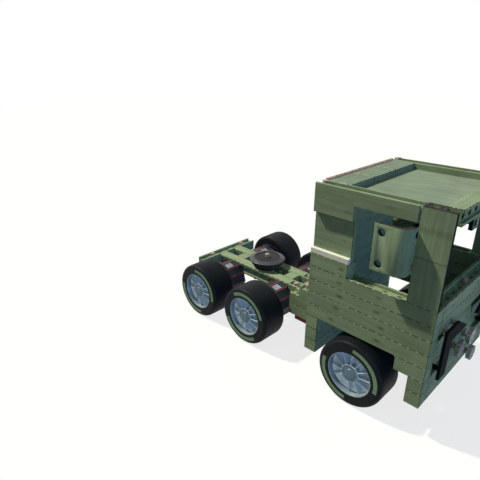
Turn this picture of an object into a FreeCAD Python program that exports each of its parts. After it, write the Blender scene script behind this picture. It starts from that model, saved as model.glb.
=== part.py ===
import FreeCAD, Part
import math
import os

from FreeCAD import Vector

# Tractor unit built from square wooden beams, thin plates and pegs.
# +X forward, +Y left, +Z up, millimetres. Origin on the ground under the middle of the length.

# Beam system: the side of a beam is also the pitch of its holes
beam_width = 200.0
plate_thickness = 66.0
beam_edge = 5.0
end_bevel = 24.0
groove_width = 124.0
groove_depth = 40.0
hole_radius = 47.0
hole_depth = 30.0
hole_sides = 8
peg_radius = 40.0
peg_proud = 24.0
peg_sides = 8
seat_gap = 0.3
overrun = 2.0
half = 0.5

# Counts of beams, each one beam width
cab_bays = 9
cab_columns = 11
short_row_bays = 3
window_bays = 4
arch_corner_bays = 2
cab_rows = 13
skirt_rows = 3
door_rows = 4
recess_rows = 3
bumper_rows = 2
side_block_bays = 4
side_block_rows = 2
deck_beam_bays = 3
rail_joint_bays = 5
crossbeam_arm_bays = 2

# Overall layout
width_over_tyres = 2508.0
arch_gap = 28.0
wheel_set_back = 172.0
deck_gap = 30.0
tandem_spacing = 1214.0
rear_gap = 84.0
lamp_reach = 200.0

# Wheels
tyre_radius = 500.0
tyre_width = 490.0
tyre_wall = 164.0
tyre_shoulder = 60.0
tyre_sides = 32
rim_wall = 20.0
rim_inset = 8.0
rim_sides = 24
hub_disc_radius = 138.0
hub_disc_inset = 36.0
hub_disc_thickness = 45.0
cavity_sides = 12
dish_depth = 105.0
dish_flare = 40.0
dish_wall = 18.0
rib_count = 12
rib_thickness = 9.0
rib_foot = 6.0
stub_radius = 36.0
stub_sides = 12
bearing_clearance = 0.5

# Hub motors
motor_radius = 320.0
motor_gap = 44.0
motor_facets = 12
motor_rib_height = 16.0
motor_rib_width = 26.0

# Front axle and steering knuckles
axle_height = 200.0
axle_depth = 200.0
kingpin_radius = 30.0
knuckle_length = 170.0
knuckle_height = 380.0
knuckle_width = 150.0
knuckle_arm = 60.0
knuckle_gap = 100.0
fork_gap = 6.0
spring_pad_length = 240.0
spring_pad_height = 28.0

# Coupling turntable
turntable_radius = 300.0
turntable_height = 112.0
turntable_edge = 14.0
turntable_sides = 32
turntable_base_radius = 240.0
turntable_base_height = 60.0
coupling_pin_radius = 40.0
coupling_pin_height = 70.0

# Cab panels
wall_recess = 60.0
strip_height = 76.0
roof_drop = 90.0
roof_ledge_depth = 82.0
roof_ledge_height = 56.0
roof_peg_radius = 40.0
roof_peg_gap = 44.0
pillar_thickness = 66.0
channel_inset = 20.0
channel_length = 200.0
channel_wall = 46.0
underfloor_rear = 660.0
underfloor_front = 300.0
niche_depth = 50.0
apron_half_width = 500.0
apron_set_back = 110.0
apron_belly_share = 0.25
apron_facets = 8

# Front guards and lamp gears
guard_width = 200.0
guard_thickness = 40.0
guard_front = 100.0
guard_inset = 10.0
guard_span = 710.0
guard_foot_rise = 380.0
guard_top_rise = 1080.0
guard_spacer = 34.0
lamp_radius = 128.0
small_lamp_radius = 105.0
lamp_tooth = 16.0
lamp_teeth = 12
lamp_root_share = -0.25
lamp_thickness = 60.0
lamp_pitch_y = 200.0
lamp_rise = 502.0
small_lamp_drop = 120.0
lamp_step_back = 90.0
spare_peg_rise = 660.0
spare_peg_reach = 70.0

# Mirror brackets
mirror_height = 600.0
mirror_thickness = 50.0
mirror_bend = 140.0
mirror_outboard = 160.0
mirror_face_length = 280.0
mirror_leg_length = 180.0
mirror_rise = 340.0

# Heights worked out from the sizes above
skirt_z = tyre_radius + tyre_radius + arch_gap - skirt_rows * beam_width
arch_z = skirt_z + skirt_rows * beam_width
sill_z = arch_z + door_rows * beam_width
recess_z = sill_z + beam_width
head_z = recess_z + recess_rows * beam_width
cab_top_z = skirt_z + cab_rows * beam_width
top_row_z = cab_top_z - beam_width
rail_z = skirt_z + beam_width
rail_top_z = rail_z + beam_width
deck_top_z = rail_top_z + beam_width
axle_z = tyre_radius
front_beam_z = rail_z - spring_pad_height - axle_height * half
lamp_z = skirt_z + lamp_rise
small_lamp_z = lamp_z - small_lamp_drop
spare_peg_z = skirt_z + spare_peg_rise

# Places along the length
motor_reach = motor_radius + motor_rib_height
mid_axle_offset = side_block_bays * beam_width + deck_gap + motor_reach
rear_reach = mid_axle_offset + tandem_spacing + motor_reach + rear_gap + beam_width
cab_length = cab_bays * beam_width
cab_rear_x = (rear_reach - cab_length - lamp_reach) * half
cab_front_x = cab_rear_x + cab_length
short_row_front_x = cab_rear_x + short_row_bays * beam_width
pillar_rear_x = short_row_front_x + window_bays * beam_width
deck_beam_x = cab_rear_x - deck_beam_bays * beam_width
side_block_x = cab_rear_x - side_block_bays * beam_width
frame_rear_x = cab_rear_x - rear_reach
rail_rear_x = frame_rear_x + beam_width
rail_joint_x = cab_rear_x - rail_joint_bays * beam_width
rail_front_x = cab_front_x - beam_width - seat_gap
front_axle_x = cab_rear_x + beam_width + wheel_set_back + tyre_radius
mid_axle_x = cab_rear_x - mid_axle_offset
rear_axle_x = mid_axle_x - tandem_spacing
coupling_x = (rear_axle_x + mid_axle_x) * half
lamp_peg_x = cab_front_x - beam_width * half

# Places across the width
cab_half = cab_columns * beam_width * half
wall_inner_y = cab_half - beam_width
wall_mid_y = cab_half - beam_width * half
rail_inner_y = beam_width * half
rail_outer_y = rail_inner_y + beam_width
rail_mid_y = rail_inner_y + beam_width * half
deck_outer_y = rail_outer_y + beam_width
crossbeam_half = rail_outer_y + crossbeam_arm_bays * beam_width
wheel_outer_y = width_over_tyres * half
wheel_centre_y = wheel_outer_y - tyre_width * half
hub_face_y = wheel_outer_y - hub_disc_inset
stub_end_y = hub_face_y - hub_disc_thickness
rim_web_y = hub_face_y - dish_depth - dish_wall
motor_end_y = wheel_outer_y - tyre_width - motor_gap
kingpin_y = rim_web_y - knuckle_gap - knuckle_arm - knuckle_width * half

# Wheel sizes that follow from the tyre
tyre_bore = tyre_radius - tyre_wall
rim_inner = tyre_bore - rim_wall
rim_edge = tyre_width * half - rim_inset
hub_face = hub_face_y - wheel_centre_y
dish_floor = hub_face - dish_depth
full_turn = math.pi + math.pi

X_AXIS = Vector(1, 0, 0)
Y_AXIS = Vector(0, 1, 0)
Z_AXIS = Vector(0, 0, 1)
ORIGIN = Vector(0, 0, 0)


def box(x0, x1, y0, y1, z0, z1):
    """Plain block between two corners."""
    return Part.makeBox(x1 - x0, y1 - y0, z1 - z0, Vector(x0, y0, z0))


def runs_along(edge, axis):
    """Tell whether an edge runs along an axis."""
    span = edge.Vertexes[-1].Point - edge.Vertexes[0].Point
    return span.Length - abs(span.dot(axis)) < seat_gap


def beam(x0, x1, y0, y1, z0, z1, bevel_at=(), hidden_face=None):
    """Beam with eased long edges; bevel_at lists the (x, y) corners that have the wide end bevel.

    hidden_face is the place of a long upright face that keeps its square edges.
    """
    shape = box(x0, x1, y0, y1, z0, z1)
    wide = [edge for edge in shape.Edges if runs_along(edge, Z_AXIS) and any(
        abs(edge.Vertexes[0].X - x) + abs(edge.Vertexes[0].Y - y) < seat_gap for x, y in bevel_at)]
    if wide:
        shape = shape.makeChamfer(end_bevel, wide)
    lengthwise, across = (X_AXIS, Y_AXIS) if x1 - x0 > y1 - y0 else (Y_AXIS, X_AXIS)
    eased = [edge for edge in shape.Edges if runs_along(edge, lengthwise) and (
        hidden_face is None or abs(edge.Vertexes[0].Point.dot(across) - hidden_face) > seat_gap)]
    return shape.makeChamfer(beam_edge, eased)


def fuse(shapes):
    """Join touching pieces into one clean solid."""
    joined = shapes[0].multiFuse(shapes[1:]) if len(shapes) > 1 else shapes[0]
    return joined.removeSplitter()


def steps(start, end, pitch):
    """Centres of the units between two ends."""
    count = int(round((end - start) / pitch))
    return [start + (index + half) * pitch for index in range(count)]


def hole_down(x, y, z_floor):
    """Cutter for a blind hole in the floor of a groove."""
    return prism(hole_radius, hole_depth + overrun, Vector(x, y, z_floor - hole_depth), Z_AXIS, hole_sides)


def groove_top_x(x0, x1, y_mid, z_top):
    """Cutters for a groove along X in a top face, with its row of holes."""
    floor_z = z_top - groove_depth
    cuts = [box(x0, x1, y_mid - groove_width * half, y_mid + groove_width * half, floor_z, z_top + overrun)]
    for x in steps(x0, x1, beam_width):
        cuts.append(hole_down(x, y_mid, floor_z))
    return cuts


def groove_top_y(y0, y1, x_mid, z_top):
    """Cutters for a groove along Y in a top face, with its row of holes."""
    floor_z = z_top - groove_depth
    cuts = [box(x_mid - groove_width * half, x_mid + groove_width * half, y0, y1, floor_z, z_top + overrun)]
    for y in steps(y0, y1, beam_width):
        cuts.append(hole_down(x_mid, y, floor_z))
    return cuts


def cut(shape, cutters):
    """Take a list of cutters away from a shape."""
    tool = cutters[0].multiFuse(cutters[1:]) if len(cutters) > 1 else cutters[0]
    return shape.cut(tool)


def mirrored(shape):
    """The same piece on the left side."""
    return shape.mirror(ORIGIN, Y_AXIS)


def export(name, shape):
    """Write one node."""
    shape.exportStep("parts/" + name + ".step")


def export_pair(stem, shape):
    """Write the right-hand piece and its mirror image as two nodes."""
    export(stem + "_right", shape)
    export(stem + "_left", mirrored(shape))


def export_both(name, shape):
    """Write the right-hand piece and its mirror image as one node."""
    export(name, Part.makeCompound([shape, mirrored(shape)]))


def polygon_face(points):
    """Flat face from corner points."""
    return Part.Face(Part.makePolygon(points + [points[0]]))


def ring(radius, centre, axis, sides, turn=0):
    """Corners of an even polygon about an axis; turn is a share of one side's angle."""
    first = Y_AXIS if abs(axis.x) > half else X_AXIS
    second = Y_AXIS if abs(axis.z) > half else Z_AXIS
    angles = [full_turn * (index + turn) / sides for index in range(sides)]
    return [centre + (first * math.cos(angle) + second * math.sin(angle)) * radius for angle in angles]


def prism(radius, length, base, axis, sides, turn=0):
    """Straight bar with an even polygon as its section."""
    return polygon_face(ring(radius, base, axis, sides, turn)).extrude(axis * length)


def turned(outline, centre, axis, sides):
    """Solid turned in flat sides; the outline's (radius, along) points run from end face to end face."""
    rings = [ring(radius, centre + axis * along, axis, sides) for radius, along in outline]
    faces = [polygon_face(rings[0]), polygon_face(rings[-1])]
    for lower, upper in zip(rings, rings[1:]):
        for index in range(sides):
            following = (index + 1) % sides
            faces.append(polygon_face([lower[index], lower[following], upper[following], upper[index]]))
    return Part.Solid(Part.Shell(faces))


def around(radius, sides):
    """Corner radius of the polygon whose flats touch a circle."""
    return radius / math.cos(math.pi / sides)


# Cab side walls, right-hand side
def cab_side():
    """Stacked rows from the skirts to the sill, with the wheel arch left open."""
    y0, y1 = -cab_half, -wall_inner_y
    corner = [(cab_front_x, y0)]
    rows = []
    for row in range(door_rows):
        z = arch_z + row * beam_width
        rows.append(beam(cab_rear_x, cab_front_x, y0, y1, z, z + beam_width, corner, y1))
    rows.append(beam(cab_rear_x, short_row_front_x, y0, y1, sill_z, recess_z, [(short_row_front_x, y0)], y1))
    x0 = cab_front_x - arch_corner_bays * beam_width
    rows.append(beam(x0, cab_front_x, y0, y1, arch_z - beam_width, arch_z, corner, y1))
    for row in range(skirt_rows - 1):
        z = skirt_z + row * beam_width
        rows.append(beam(cab_front_x - beam_width, cab_front_x, y0, y1, z, z + beam_width, corner))
    return cut(fuse(rows), groove_top_x(short_row_front_x, pillar_rear_x, -wall_mid_y, sill_z))


def cab_top_rail():
    """Top side beam with its open groove and the short beam under it."""
    y0, y1 = -cab_half, -wall_inner_y
    upper = beam(cab_rear_x, pillar_rear_x, y0, y1, top_row_z, cab_top_z)
    lower = beam(cab_rear_x, short_row_front_x, y0, y1, head_z, top_row_z, [(short_row_front_x, y0)], y1)
    return cut(fuse([upper, lower]), groove_top_x(cab_rear_x, pillar_rear_x, -wall_mid_y, cab_top_z))


def side_panel():
    """Thin wall panel set back between the rows behind the window."""
    y0 = -cab_half + wall_recess
    return box(cab_rear_x, short_row_front_x, y0, y0 + plate_thickness, recess_z, head_z)


def side_strip():
    """Pale strip along the foot of the recessed panel."""
    y0 = -cab_half
    strip = box(cab_rear_x, short_row_front_x, y0, y0 + wall_recess, recess_z, recess_z + strip_height)
    front = [edge for edge in strip.Edges if runs_along(edge, Z_AXIS) and edge.Vertexes[0].Y < y0 + seat_gap]
    return strip.makeChamfer(end_bevel, front)


def pillar():
    """Two thick plates, one above the other, and the open channel that ties them to the roof."""
    y0 = -cab_half
    middle_z = (sill_z + cab_top_z) * half
    lower = beam(pillar_rear_x, cab_front_x, y0, y0 + pillar_thickness, sill_z, middle_z)
    upper = beam(pillar_rear_x, cab_front_x, y0, y0 + pillar_thickness, middle_z, cab_top_z)
    x0 = pillar_rear_x + channel_inset
    x1 = x0 + channel_length
    y0 += pillar_thickness
    channel = box(x0, x1, y0, -wall_inner_y, top_row_z, cab_top_z)
    room = box(x0 + channel_wall, x1 - channel_wall, y0, -wall_inner_y - channel_wall,
               top_row_z - overrun, cab_top_z + overrun)
    return fuse([lower, upper, channel.cut(room)])


def mudflap():
    """Three rows behind the front wheel, at the rear corner of the cab."""
    y0, y1 = -cab_half, -rail_outer_y
    x1 = cab_rear_x + beam_width
    rows = []
    for row in range(skirt_rows):
        z = skirt_z + row * beam_width
        rows.append(beam(cab_rear_x, x1, y0, y1, z, z + beam_width, [(x1, y0)]))
    return fuse(rows)


def underfloor_plate():
    """Right-hand red plate, flat under the side block and the foot of the mudflap."""
    z1 = skirt_z - seat_gap
    return box(cab_rear_x - underfloor_rear, cab_rear_x + underfloor_front, -deck_outer_y, -rail_outer_y,
               z1 - plate_thickness, z1)


# Cab cross pieces


def cab_rear_wall():
    """Rows of cross beams that close the back of the cab, two beams deep at the roof."""
    x1 = cab_rear_x + beam_width
    y1 = rail_outer_y - seat_gap
    rows = [beam(cab_rear_x, x1, -y1, y1, rail_top_z + seat_gap, arch_z, (), x1)]
    y1 = wall_inner_y - seat_gap
    for row in range(cab_rows - skirt_rows):
        z = arch_z + row * beam_width
        rows.append(beam(cab_rear_x, x1, -y1, y1, z, z + beam_width, (), x1))
    rows.append(beam(x1, x1 + beam_width, -y1, y1, cab_top_z - beam_width, cab_top_z, (), x1))
    ledge = box(cab_rear_x - overrun, cab_rear_x + roof_ledge_depth, -wall_inner_y, wall_inner_y,
                cab_top_z - roof_ledge_height, cab_top_z + overrun)
    return fuse(rows).cut(ledge)


def roof_panel():
    """Flat roof let in below the tops of the beams around it."""
    top = cab_top_z - roof_drop
    y1 = wall_inner_y - seat_gap
    return box(cab_rear_x + beam_width + beam_width + seat_gap, cab_front_x - beam_width - seat_gap, -y1, y1,
               top - plate_thickness, top)


def roof_front_beam():
    """Cross beam over the windscreen, its holes facing forward."""
    y1 = wall_inner_y - seat_gap
    x0 = cab_front_x - beam_width
    bar = beam(x0, cab_front_x, -y1, y1, top_row_z, cab_top_z)
    z_mid = top_row_z + beam_width * half
    cutters = [box(cab_front_x - groove_depth, cab_front_x + overrun, -y1, y1,
                   z_mid - groove_width * half, z_mid + groove_width * half)]
    for y in steps(-wall_inner_y, wall_inner_y, beam_width):
        back = Vector(x0 - overrun, y, z_mid)
        cutters.append(prism(hole_radius, beam_width + overrun, back, X_AXIS, hole_sides))
    return cut(bar, cutters)


def cowl_beam():
    """Perforated cross beam under the windscreen, its holes facing up."""
    y1 = wall_inner_y - seat_gap
    bar = beam(cab_front_x - beam_width, cab_front_x, -y1, y1, sill_z - beam_width, sill_z)
    return cut(bar, groove_top_y(-y1, y1, cab_front_x - beam_width * half, sill_z))


def front_fascia():
    """Cross plank under the cowl."""
    y1 = wall_inner_y - seat_gap
    z1 = sill_z - beam_width - seat_gap
    return beam(cab_front_x - beam_width, cab_front_x, -y1, y1, z1 - beam_width, z1)


def front_corner():
    """Right-hand stack beside the apron: bumper planks and, above them, planks set back."""
    y0, y1 = -wall_inner_y + seat_gap, -apron_half_width - seat_gap
    x0 = cab_front_x - beam_width
    rows = []
    for row in range(bumper_rows):
        z = skirt_z + row * beam_width
        rows.append(beam(x0, cab_front_x, y0, y1, z, z + beam_width, (), x0))
        z += bumper_rows * beam_width
        rows.append(beam(x0, cab_front_x - niche_depth, y0, y1, z, z + beam_width, (), x0))
    return fuse(rows)


def front_apron():
    """Plate between the corner stacks, curved from the fascia out to the foot, with the peg sockets."""
    y0 = -apron_half_width
    head_top_z = sill_z - beam_width - beam_width - seat_gap - seat_gap
    middle_z = (skirt_z + head_top_z) * half
    back_x = cab_front_x - beam_width
    foot = Vector(cab_front_x, y0, skirt_z)
    belly = Vector(cab_front_x - apron_set_back * apron_belly_share, y0, middle_z)
    head = Vector(cab_front_x - apron_set_back, y0, head_top_z)
    front = Part.Arc(foot, belly, head).toShape().discretize(Number=apron_facets + 1)
    outline = front + [Vector(back_x, y0, head_top_z), Vector(back_x, y0, skirt_z)]
    block = polygon_face(outline).extrude(Y_AXIS * (apron_half_width + apron_half_width))
    sockets = []
    for y, z in ((-lamp_pitch_y, lamp_z), (lamp_pitch_y, lamp_z), (0, small_lamp_z), (0, spare_peg_z)):
        back = Vector(lamp_peg_x - seat_gap, y, z)
        sockets.append(prism(peg_radius + seat_gap, beam_width, back, X_AXIS, peg_sides))
    return cut(block, sockets)


# Front guard, lamps and mirrors
def front_guard():
    """L-shaped plate standing off the front, on three spacers."""
    x1 = cab_front_x + guard_front
    x0 = x1 - guard_thickness
    outer_y = -wall_inner_y + guard_inset
    inner_y = outer_y + guard_span
    foot_z = skirt_z + guard_foot_rise
    top_z = skirt_z + guard_top_rise
    leg_inner_y = outer_y + guard_width
    bar_z = top_z - guard_width
    corners = [(outer_y, foot_z), (leg_inner_y, foot_z), (leg_inner_y, bar_z), (inner_y, bar_z),
               (inner_y, top_z), (outer_y, top_z)]
    shapes = [polygon_face([Vector(x0, y, z) for y, z in corners]).extrude(X_AXIS * guard_thickness)]
    leg_y = outer_y + guard_width * half
    back_x = cab_front_x - niche_depth + seat_gap
    back = Vector(back_x, leg_y, foot_z + guard_width * half)
    shapes.append(prism(guard_spacer, x0 - back_x + overrun, back, X_AXIS, peg_sides))
    for y in (leg_y, inner_y - guard_width * half):
        shapes.append(box(cab_front_x + seat_gap, x0 + overrun, y - guard_spacer, y + guard_spacer,
                          top_z - guard_width * half + guard_spacer, top_z))
    return fuse(shapes)


def lamp_gear(x_front, y, z, radius):
    """Toothed disc on its peg, the peg let into the apron."""
    x = x_front - lamp_thickness
    centre = Vector(x, y, z)
    tips = lamp_teeth + lamp_teeth
    crests = ring(radius, centre, X_AXIS, tips)
    roots = ring(radius - lamp_tooth, centre, X_AXIS, lamp_teeth, lamp_root_share)
    corners = []
    for index in range(lamp_teeth):
        corners += [roots[index], crests[index + index], crests[index + index + 1]]
    disc = polygon_face(corners).extrude(X_AXIS * lamp_thickness)
    peg = prism(peg_radius, x + overrun - lamp_peg_x, Vector(lamp_peg_x, y, z), X_AXIS, peg_sides)
    return fuse([disc, peg])


def lamp_gears():
    """Two large gears side by side and a small one lower down between them, furthest forward."""
    x_front = cab_front_x + lamp_reach
    shapes = [lamp_gear(x_front, 0, small_lamp_z, small_lamp_radius)]
    for side in (-1, 1):
        shapes.append(lamp_gear(x_front - lamp_step_back, side * lamp_pitch_y, lamp_z, lamp_radius))
    return shapes


def mirror_bracket():
    """Angle plate with a round bend beside the window, pierced in the face and in the leg."""
    x1 = pillar_rear_x - seat_gap
    y0 = -cab_half - mirror_outboard
    foot_z = sill_z + mirror_rise
    bend = Vector(x1 - mirror_bend, y0 + mirror_bend, foot_z)
    slant = Vector(1, -1, 0) * math.sqrt(half)
    runs = []
    for radius in (mirror_bend, mirror_bend - mirror_thickness):
        face_end = bend + Vector(-mirror_face_length, -radius, 0)
        face_start = bend + Vector(0, -radius, 0)
        leg_start = bend + Vector(radius, 0, 0)
        leg_end = bend + Vector(radius, mirror_leg_length, 0)
        turn = Part.Arc(face_start, bend + slant * radius, leg_start).toShape()
        runs.append([Part.makeLine(face_end, face_start), turn, Part.makeLine(leg_start, leg_end)])
    outer, inner = runs
    leg_edge = Part.makeLine(outer[-1].Vertexes[-1].Point, inner[-1].Vertexes[-1].Point)
    face_edge = Part.makeLine(inner[0].Vertexes[0].Point, outer[0].Vertexes[0].Point)
    outline = Part.Wire(outer + [leg_edge] + inner[::-1] + [face_edge])
    plate = Part.Face(outline).extrude(Z_AXIS * mirror_height)
    through = mirror_thickness + overrun + overrun
    hole_x = bend.x - mirror_face_length + beam_width * half
    cutters = []
    leg_x = x1 - mirror_thickness - overrun
    leg_y = bend.y + mirror_leg_length * half
    for z in (foot_z + beam_width * half, foot_z + mirror_height - beam_width * half):
        cutters.append(prism(hole_radius, through, Vector(hole_x, y0 - overrun, z), Y_AXIS, hole_sides))
        cutters.append(prism(hole_radius, through, Vector(leg_x, leg_y, z), X_AXIS, hole_sides))
    return cut(plate, cutters)


# Chassis
def frame_rail():
    """Right-hand rail: a rear beam pierced from side to side and a front beam grooved on top."""
    y0, y1 = -rail_outer_y, -rail_inner_y
    back = beam(rail_rear_x, rail_joint_x, y0, y1, rail_z, rail_top_z)
    front = beam(rail_joint_x, rail_front_x, y0, y1, rail_z, rail_top_z)
    z_mid = rail_z + beam_width * half
    cutters = [box(rail_rear_x, rail_joint_x, y0 - overrun, y0 + groove_depth,
                   z_mid - groove_width * half, z_mid + groove_width * half)]
    through = beam_width + overrun + overrun
    for x in steps(rail_rear_x, rail_joint_x, beam_width):
        cutters.append(prism(hole_radius, through, Vector(x, y0 - overrun, z_mid), Y_AXIS, hole_sides))
    cutters += groove_top_x(rail_joint_x + beam_edge, deck_beam_x, -rail_mid_y, rail_top_z)
    return cut(fuse([back, front]), cutters)


def rear_crossbeam():
    """Cross beam at the rear ends of the rails."""
    y1 = crossbeam_half
    bar = beam(frame_rear_x, rail_rear_x - seat_gap, -y1, y1, rail_z, rail_top_z)
    return cut(bar, groove_top_y(-y1, y1, frame_rear_x + beam_width * half, rail_top_z))


def rail_ties():
    """Short cross pieces between the rails."""
    y1 = rail_inner_y - seat_gap
    ties = []
    for x in (rear_axle_x, mid_axle_x, coupling_x, front_axle_x):
        x0 = x - beam_width * half
        ties.append(box(x0, x0 + beam_width, -y1, y1, rail_z, rail_top_z))
    return Part.makeCompound(ties)


def side_block():
    """Right-hand block of two rows against the rail, behind the cab, with a grooved top."""
    y0, y1 = -deck_outer_y, -rail_outer_y
    rows = []
    for row in range(side_block_rows):
        z = skirt_z + row * beam_width
        rows.append(beam(side_block_x, cab_rear_x - seat_gap, y0, y1, z, z + beam_width, (), y1))
    groove = groove_top_x(side_block_x, deck_beam_x, (y0 + y1) * half, rail_top_z)
    return cut(fuse(rows), groove)


def deck_beams():
    """Cross beams on the rails behind the cab, with a lengthwise groove and holes on top."""
    beams = []
    for x0 in (deck_beam_x, cab_rear_x - beam_width - seat_gap):
        y1 = deck_outer_y
        bar = beam(x0, x0 + beam_width, -y1, y1, rail_top_z + seat_gap, deck_top_z)
        beams.append(cut(bar, groove_top_y(-y1, y1, x0 + beam_width * half, deck_top_z)))
    return Part.makeCompound(beams)


def beam_pegs():
    """Pegs that stand in the grooved tops of the beams, and the spare one over the lamps."""
    shapes = [blind_peg(cab_front_x - beam_width * half, 0, sill_z)]
    reach = cab_front_x + spare_peg_reach - lamp_peg_x
    shapes.append(prism(peg_radius, reach, Vector(lamp_peg_x, 0, spare_peg_z), X_AXIS, peg_sides))
    for side in (-1, 1):
        shapes.append(blind_peg(cab_rear_x + beam_width * half, side * wall_mid_y, cab_top_z))
        block_y = side * (rail_outer_y + beam_width * half)
        shapes.append(blind_peg(rail_joint_x + beam_width * half, side * rail_mid_y, rail_top_z))
        shapes.append(blind_peg(deck_beam_x + beam_width * half, block_y, deck_top_z))
        shapes.append(blind_peg(frame_rear_x + beam_width * half, block_y, rail_top_z))
    return Part.makeCompound(shapes)


def blind_peg(x, y, z_top):
    """Peg that stands in one of the blind holes of a grooved face."""
    foot_z = z_top - groove_depth - hole_depth + seat_gap
    return prism(peg_radius, z_top + peg_proud - foot_z, Vector(x, y, foot_z), Z_AXIS, peg_sides)


def roof_pegs():
    """Row of pegs lying in the rebate at the rear edge of the roof."""
    z = cab_top_z - roof_ledge_height + roof_peg_radius + seat_gap
    x = cab_rear_x + roof_ledge_depth - roof_peg_radius - seat_gap
    length = beam_width - roof_peg_gap
    radius = around(roof_peg_radius, peg_sides)
    pegs = []
    for y in steps(-wall_inner_y, wall_inner_y, beam_width):
        pegs.append(prism(radius, length, Vector(x, y - length * half, z), Y_AXIS, peg_sides, half))
    return Part.makeCompound(pegs)


def hub_motor(x):
    """Right-hand hub motor: a faceted drum with a rib on each corner and the stub axle."""
    length = motor_end_y - rail_outer_y
    centre = Vector(x, -rail_outer_y, axle_z)
    shapes = [prism(motor_radius, length, centre, -Y_AXIS, motor_facets, half)]
    for index in range(motor_facets):
        rib = box(x + motor_radius * half, x + motor_radius + motor_rib_height, -motor_end_y, -rail_outer_y,
                  axle_z - motor_rib_width * half, axle_z + motor_rib_width * half)
        rib.rotate(centre, Y_AXIS, math.degrees(full_turn * (index + half) / motor_facets))
        shapes.append(rib)
    end = Vector(x, -motor_end_y, axle_z)
    shapes.append(prism(stub_radius, stub_end_y - motor_end_y, end, -Y_AXIS, stub_sides))
    return fuse(shapes)


def motors_at(x):
    """Both hub motors of one axle."""
    right = hub_motor(x)
    return Part.makeCompound([right, mirrored(right)])


# Coupling


def turntable_base():
    """Fixed ring on the rails and the pin that the turntable turns on."""
    foot = Vector(coupling_x, 0, rail_top_z)
    top = foot + Z_AXIS * turntable_base_height
    plate = prism(turntable_base_radius, turntable_base_height, foot, Z_AXIS, turntable_sides)
    return fuse([plate, prism(coupling_pin_radius, turntable_height * half, top, Z_AXIS, stub_sides)])


def turntable():
    """Turning disc that carries the towed load, with its coupling pin."""
    foot = Vector(coupling_x, 0, rail_top_z + turntable_base_height + seat_gap)
    edge_radius = turntable_radius - turntable_edge
    outline = [(turntable_radius, 0), (turntable_radius, turntable_height - turntable_edge),
               (edge_radius, turntable_height)]
    disc = turned(outline, foot, Z_AXIS, turntable_sides)
    bore_radius = around(coupling_pin_radius + bearing_clearance, stub_sides)
    bore_depth = turntable_height * half + overrun + overrun
    bore = prism(bore_radius, bore_depth, foot - Z_AXIS * overrun, Z_AXIS, stub_sides)
    pin = Part.makeCylinder(coupling_pin_radius, coupling_pin_height, foot + Z_AXIS * turntable_height)
    return disc.cut(bore).fuse(pin).removeSplitter()


# Front axle


def front_axle():
    """Axle beam under the rails with a kingpin at each end."""
    end_y = kingpin_y - knuckle_width * half - fork_gap
    x0, x1 = front_axle_x - axle_depth * half, front_axle_x + axle_depth * half
    beam_top_z = front_beam_z + axle_height * half
    tongue_half = knuckle_height * half - knuckle_arm - fork_gap
    pin_half = (knuckle_height + overrun) * half
    shapes = [box(x0, x1, -end_y, end_y, beam_top_z - axle_height, beam_top_z)]
    for side in (-1, 1):
        y0, y1 = sorted((side * end_y, side * kingpin_y))
        shapes.append(box(front_axle_x - knuckle_arm, front_axle_x + knuckle_arm, y0, y1,
                          axle_z - tongue_half, axle_z + tongue_half))
        centre = Vector(front_axle_x, side * kingpin_y, axle_z)
        eye_foot = centre - Z_AXIS * tongue_half
        shapes.append(prism(knuckle_arm, tongue_half + tongue_half, eye_foot, Z_AXIS, stub_sides))
        shapes.append(Part.makeCylinder(kingpin_radius, pin_half, centre))
        shapes.append(prism(kingpin_radius, pin_half, centre, -Z_AXIS, stub_sides))
        y0, y1 = sorted((side * rail_inner_y, side * rail_outer_y))
        pad_half = spring_pad_length * half
        shapes.append(box(front_axle_x - pad_half, front_axle_x + pad_half, y0, y1, beam_top_z, rail_z))
    return fuse(shapes)


def knuckle():
    """Right-hand steering knuckle: two arms on the kingpin and the stub axle."""
    inner = -kingpin_y + knuckle_width * half
    outer = -kingpin_y - knuckle_width * half
    back = outer - knuckle_arm
    z0, z1 = axle_z - knuckle_height * half, axle_z + knuckle_height * half
    x0, x1 = front_axle_x - knuckle_length * half, front_axle_x + knuckle_length * half
    upper = box(x0, x1, back, inner, z1 - knuckle_arm, z1)
    lower = box(x0, x1, back, inner, z0, z0 + knuckle_arm)
    body = fuse([upper, lower, box(x0, x1, back, outer, z0, z1)])
    bore_radius = around(kingpin_radius + bearing_clearance, stub_sides)
    bore_foot = Vector(front_axle_x, -kingpin_y, z0 - overrun)
    bore = prism(bore_radius, knuckle_height + overrun + overrun, bore_foot, Z_AXIS, stub_sides)
    stub = prism(stub_radius, stub_end_y + back, Vector(front_axle_x, back, axle_z), -Y_AXIS, stub_sides)
    return fuse([body.cut(bore), stub])


# Wheels, modelled for the right side at the origin with the outer face towards -Y
def tyre_shape():
    """Slick tyre with rounded shoulders."""
    edge = tyre_width * half
    side = tyre_radius - tyre_shoulder
    ease = tyre_shoulder * (1 - math.sqrt(half))
    outline = [(side, -edge), (tyre_radius - ease, -edge + ease), (tyre_radius, -edge + tyre_shoulder),
               (tyre_radius, edge - tyre_shoulder), (tyre_radius - ease, edge - ease), (side, edge)]
    bore = prism(tyre_bore, tyre_width + overrun + overrun, Y_AXIS * (edge + overrun), -Y_AXIS, rim_sides)
    return turned(outline, ORIGIN, -Y_AXIS, tyre_sides).cut(bore)


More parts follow.
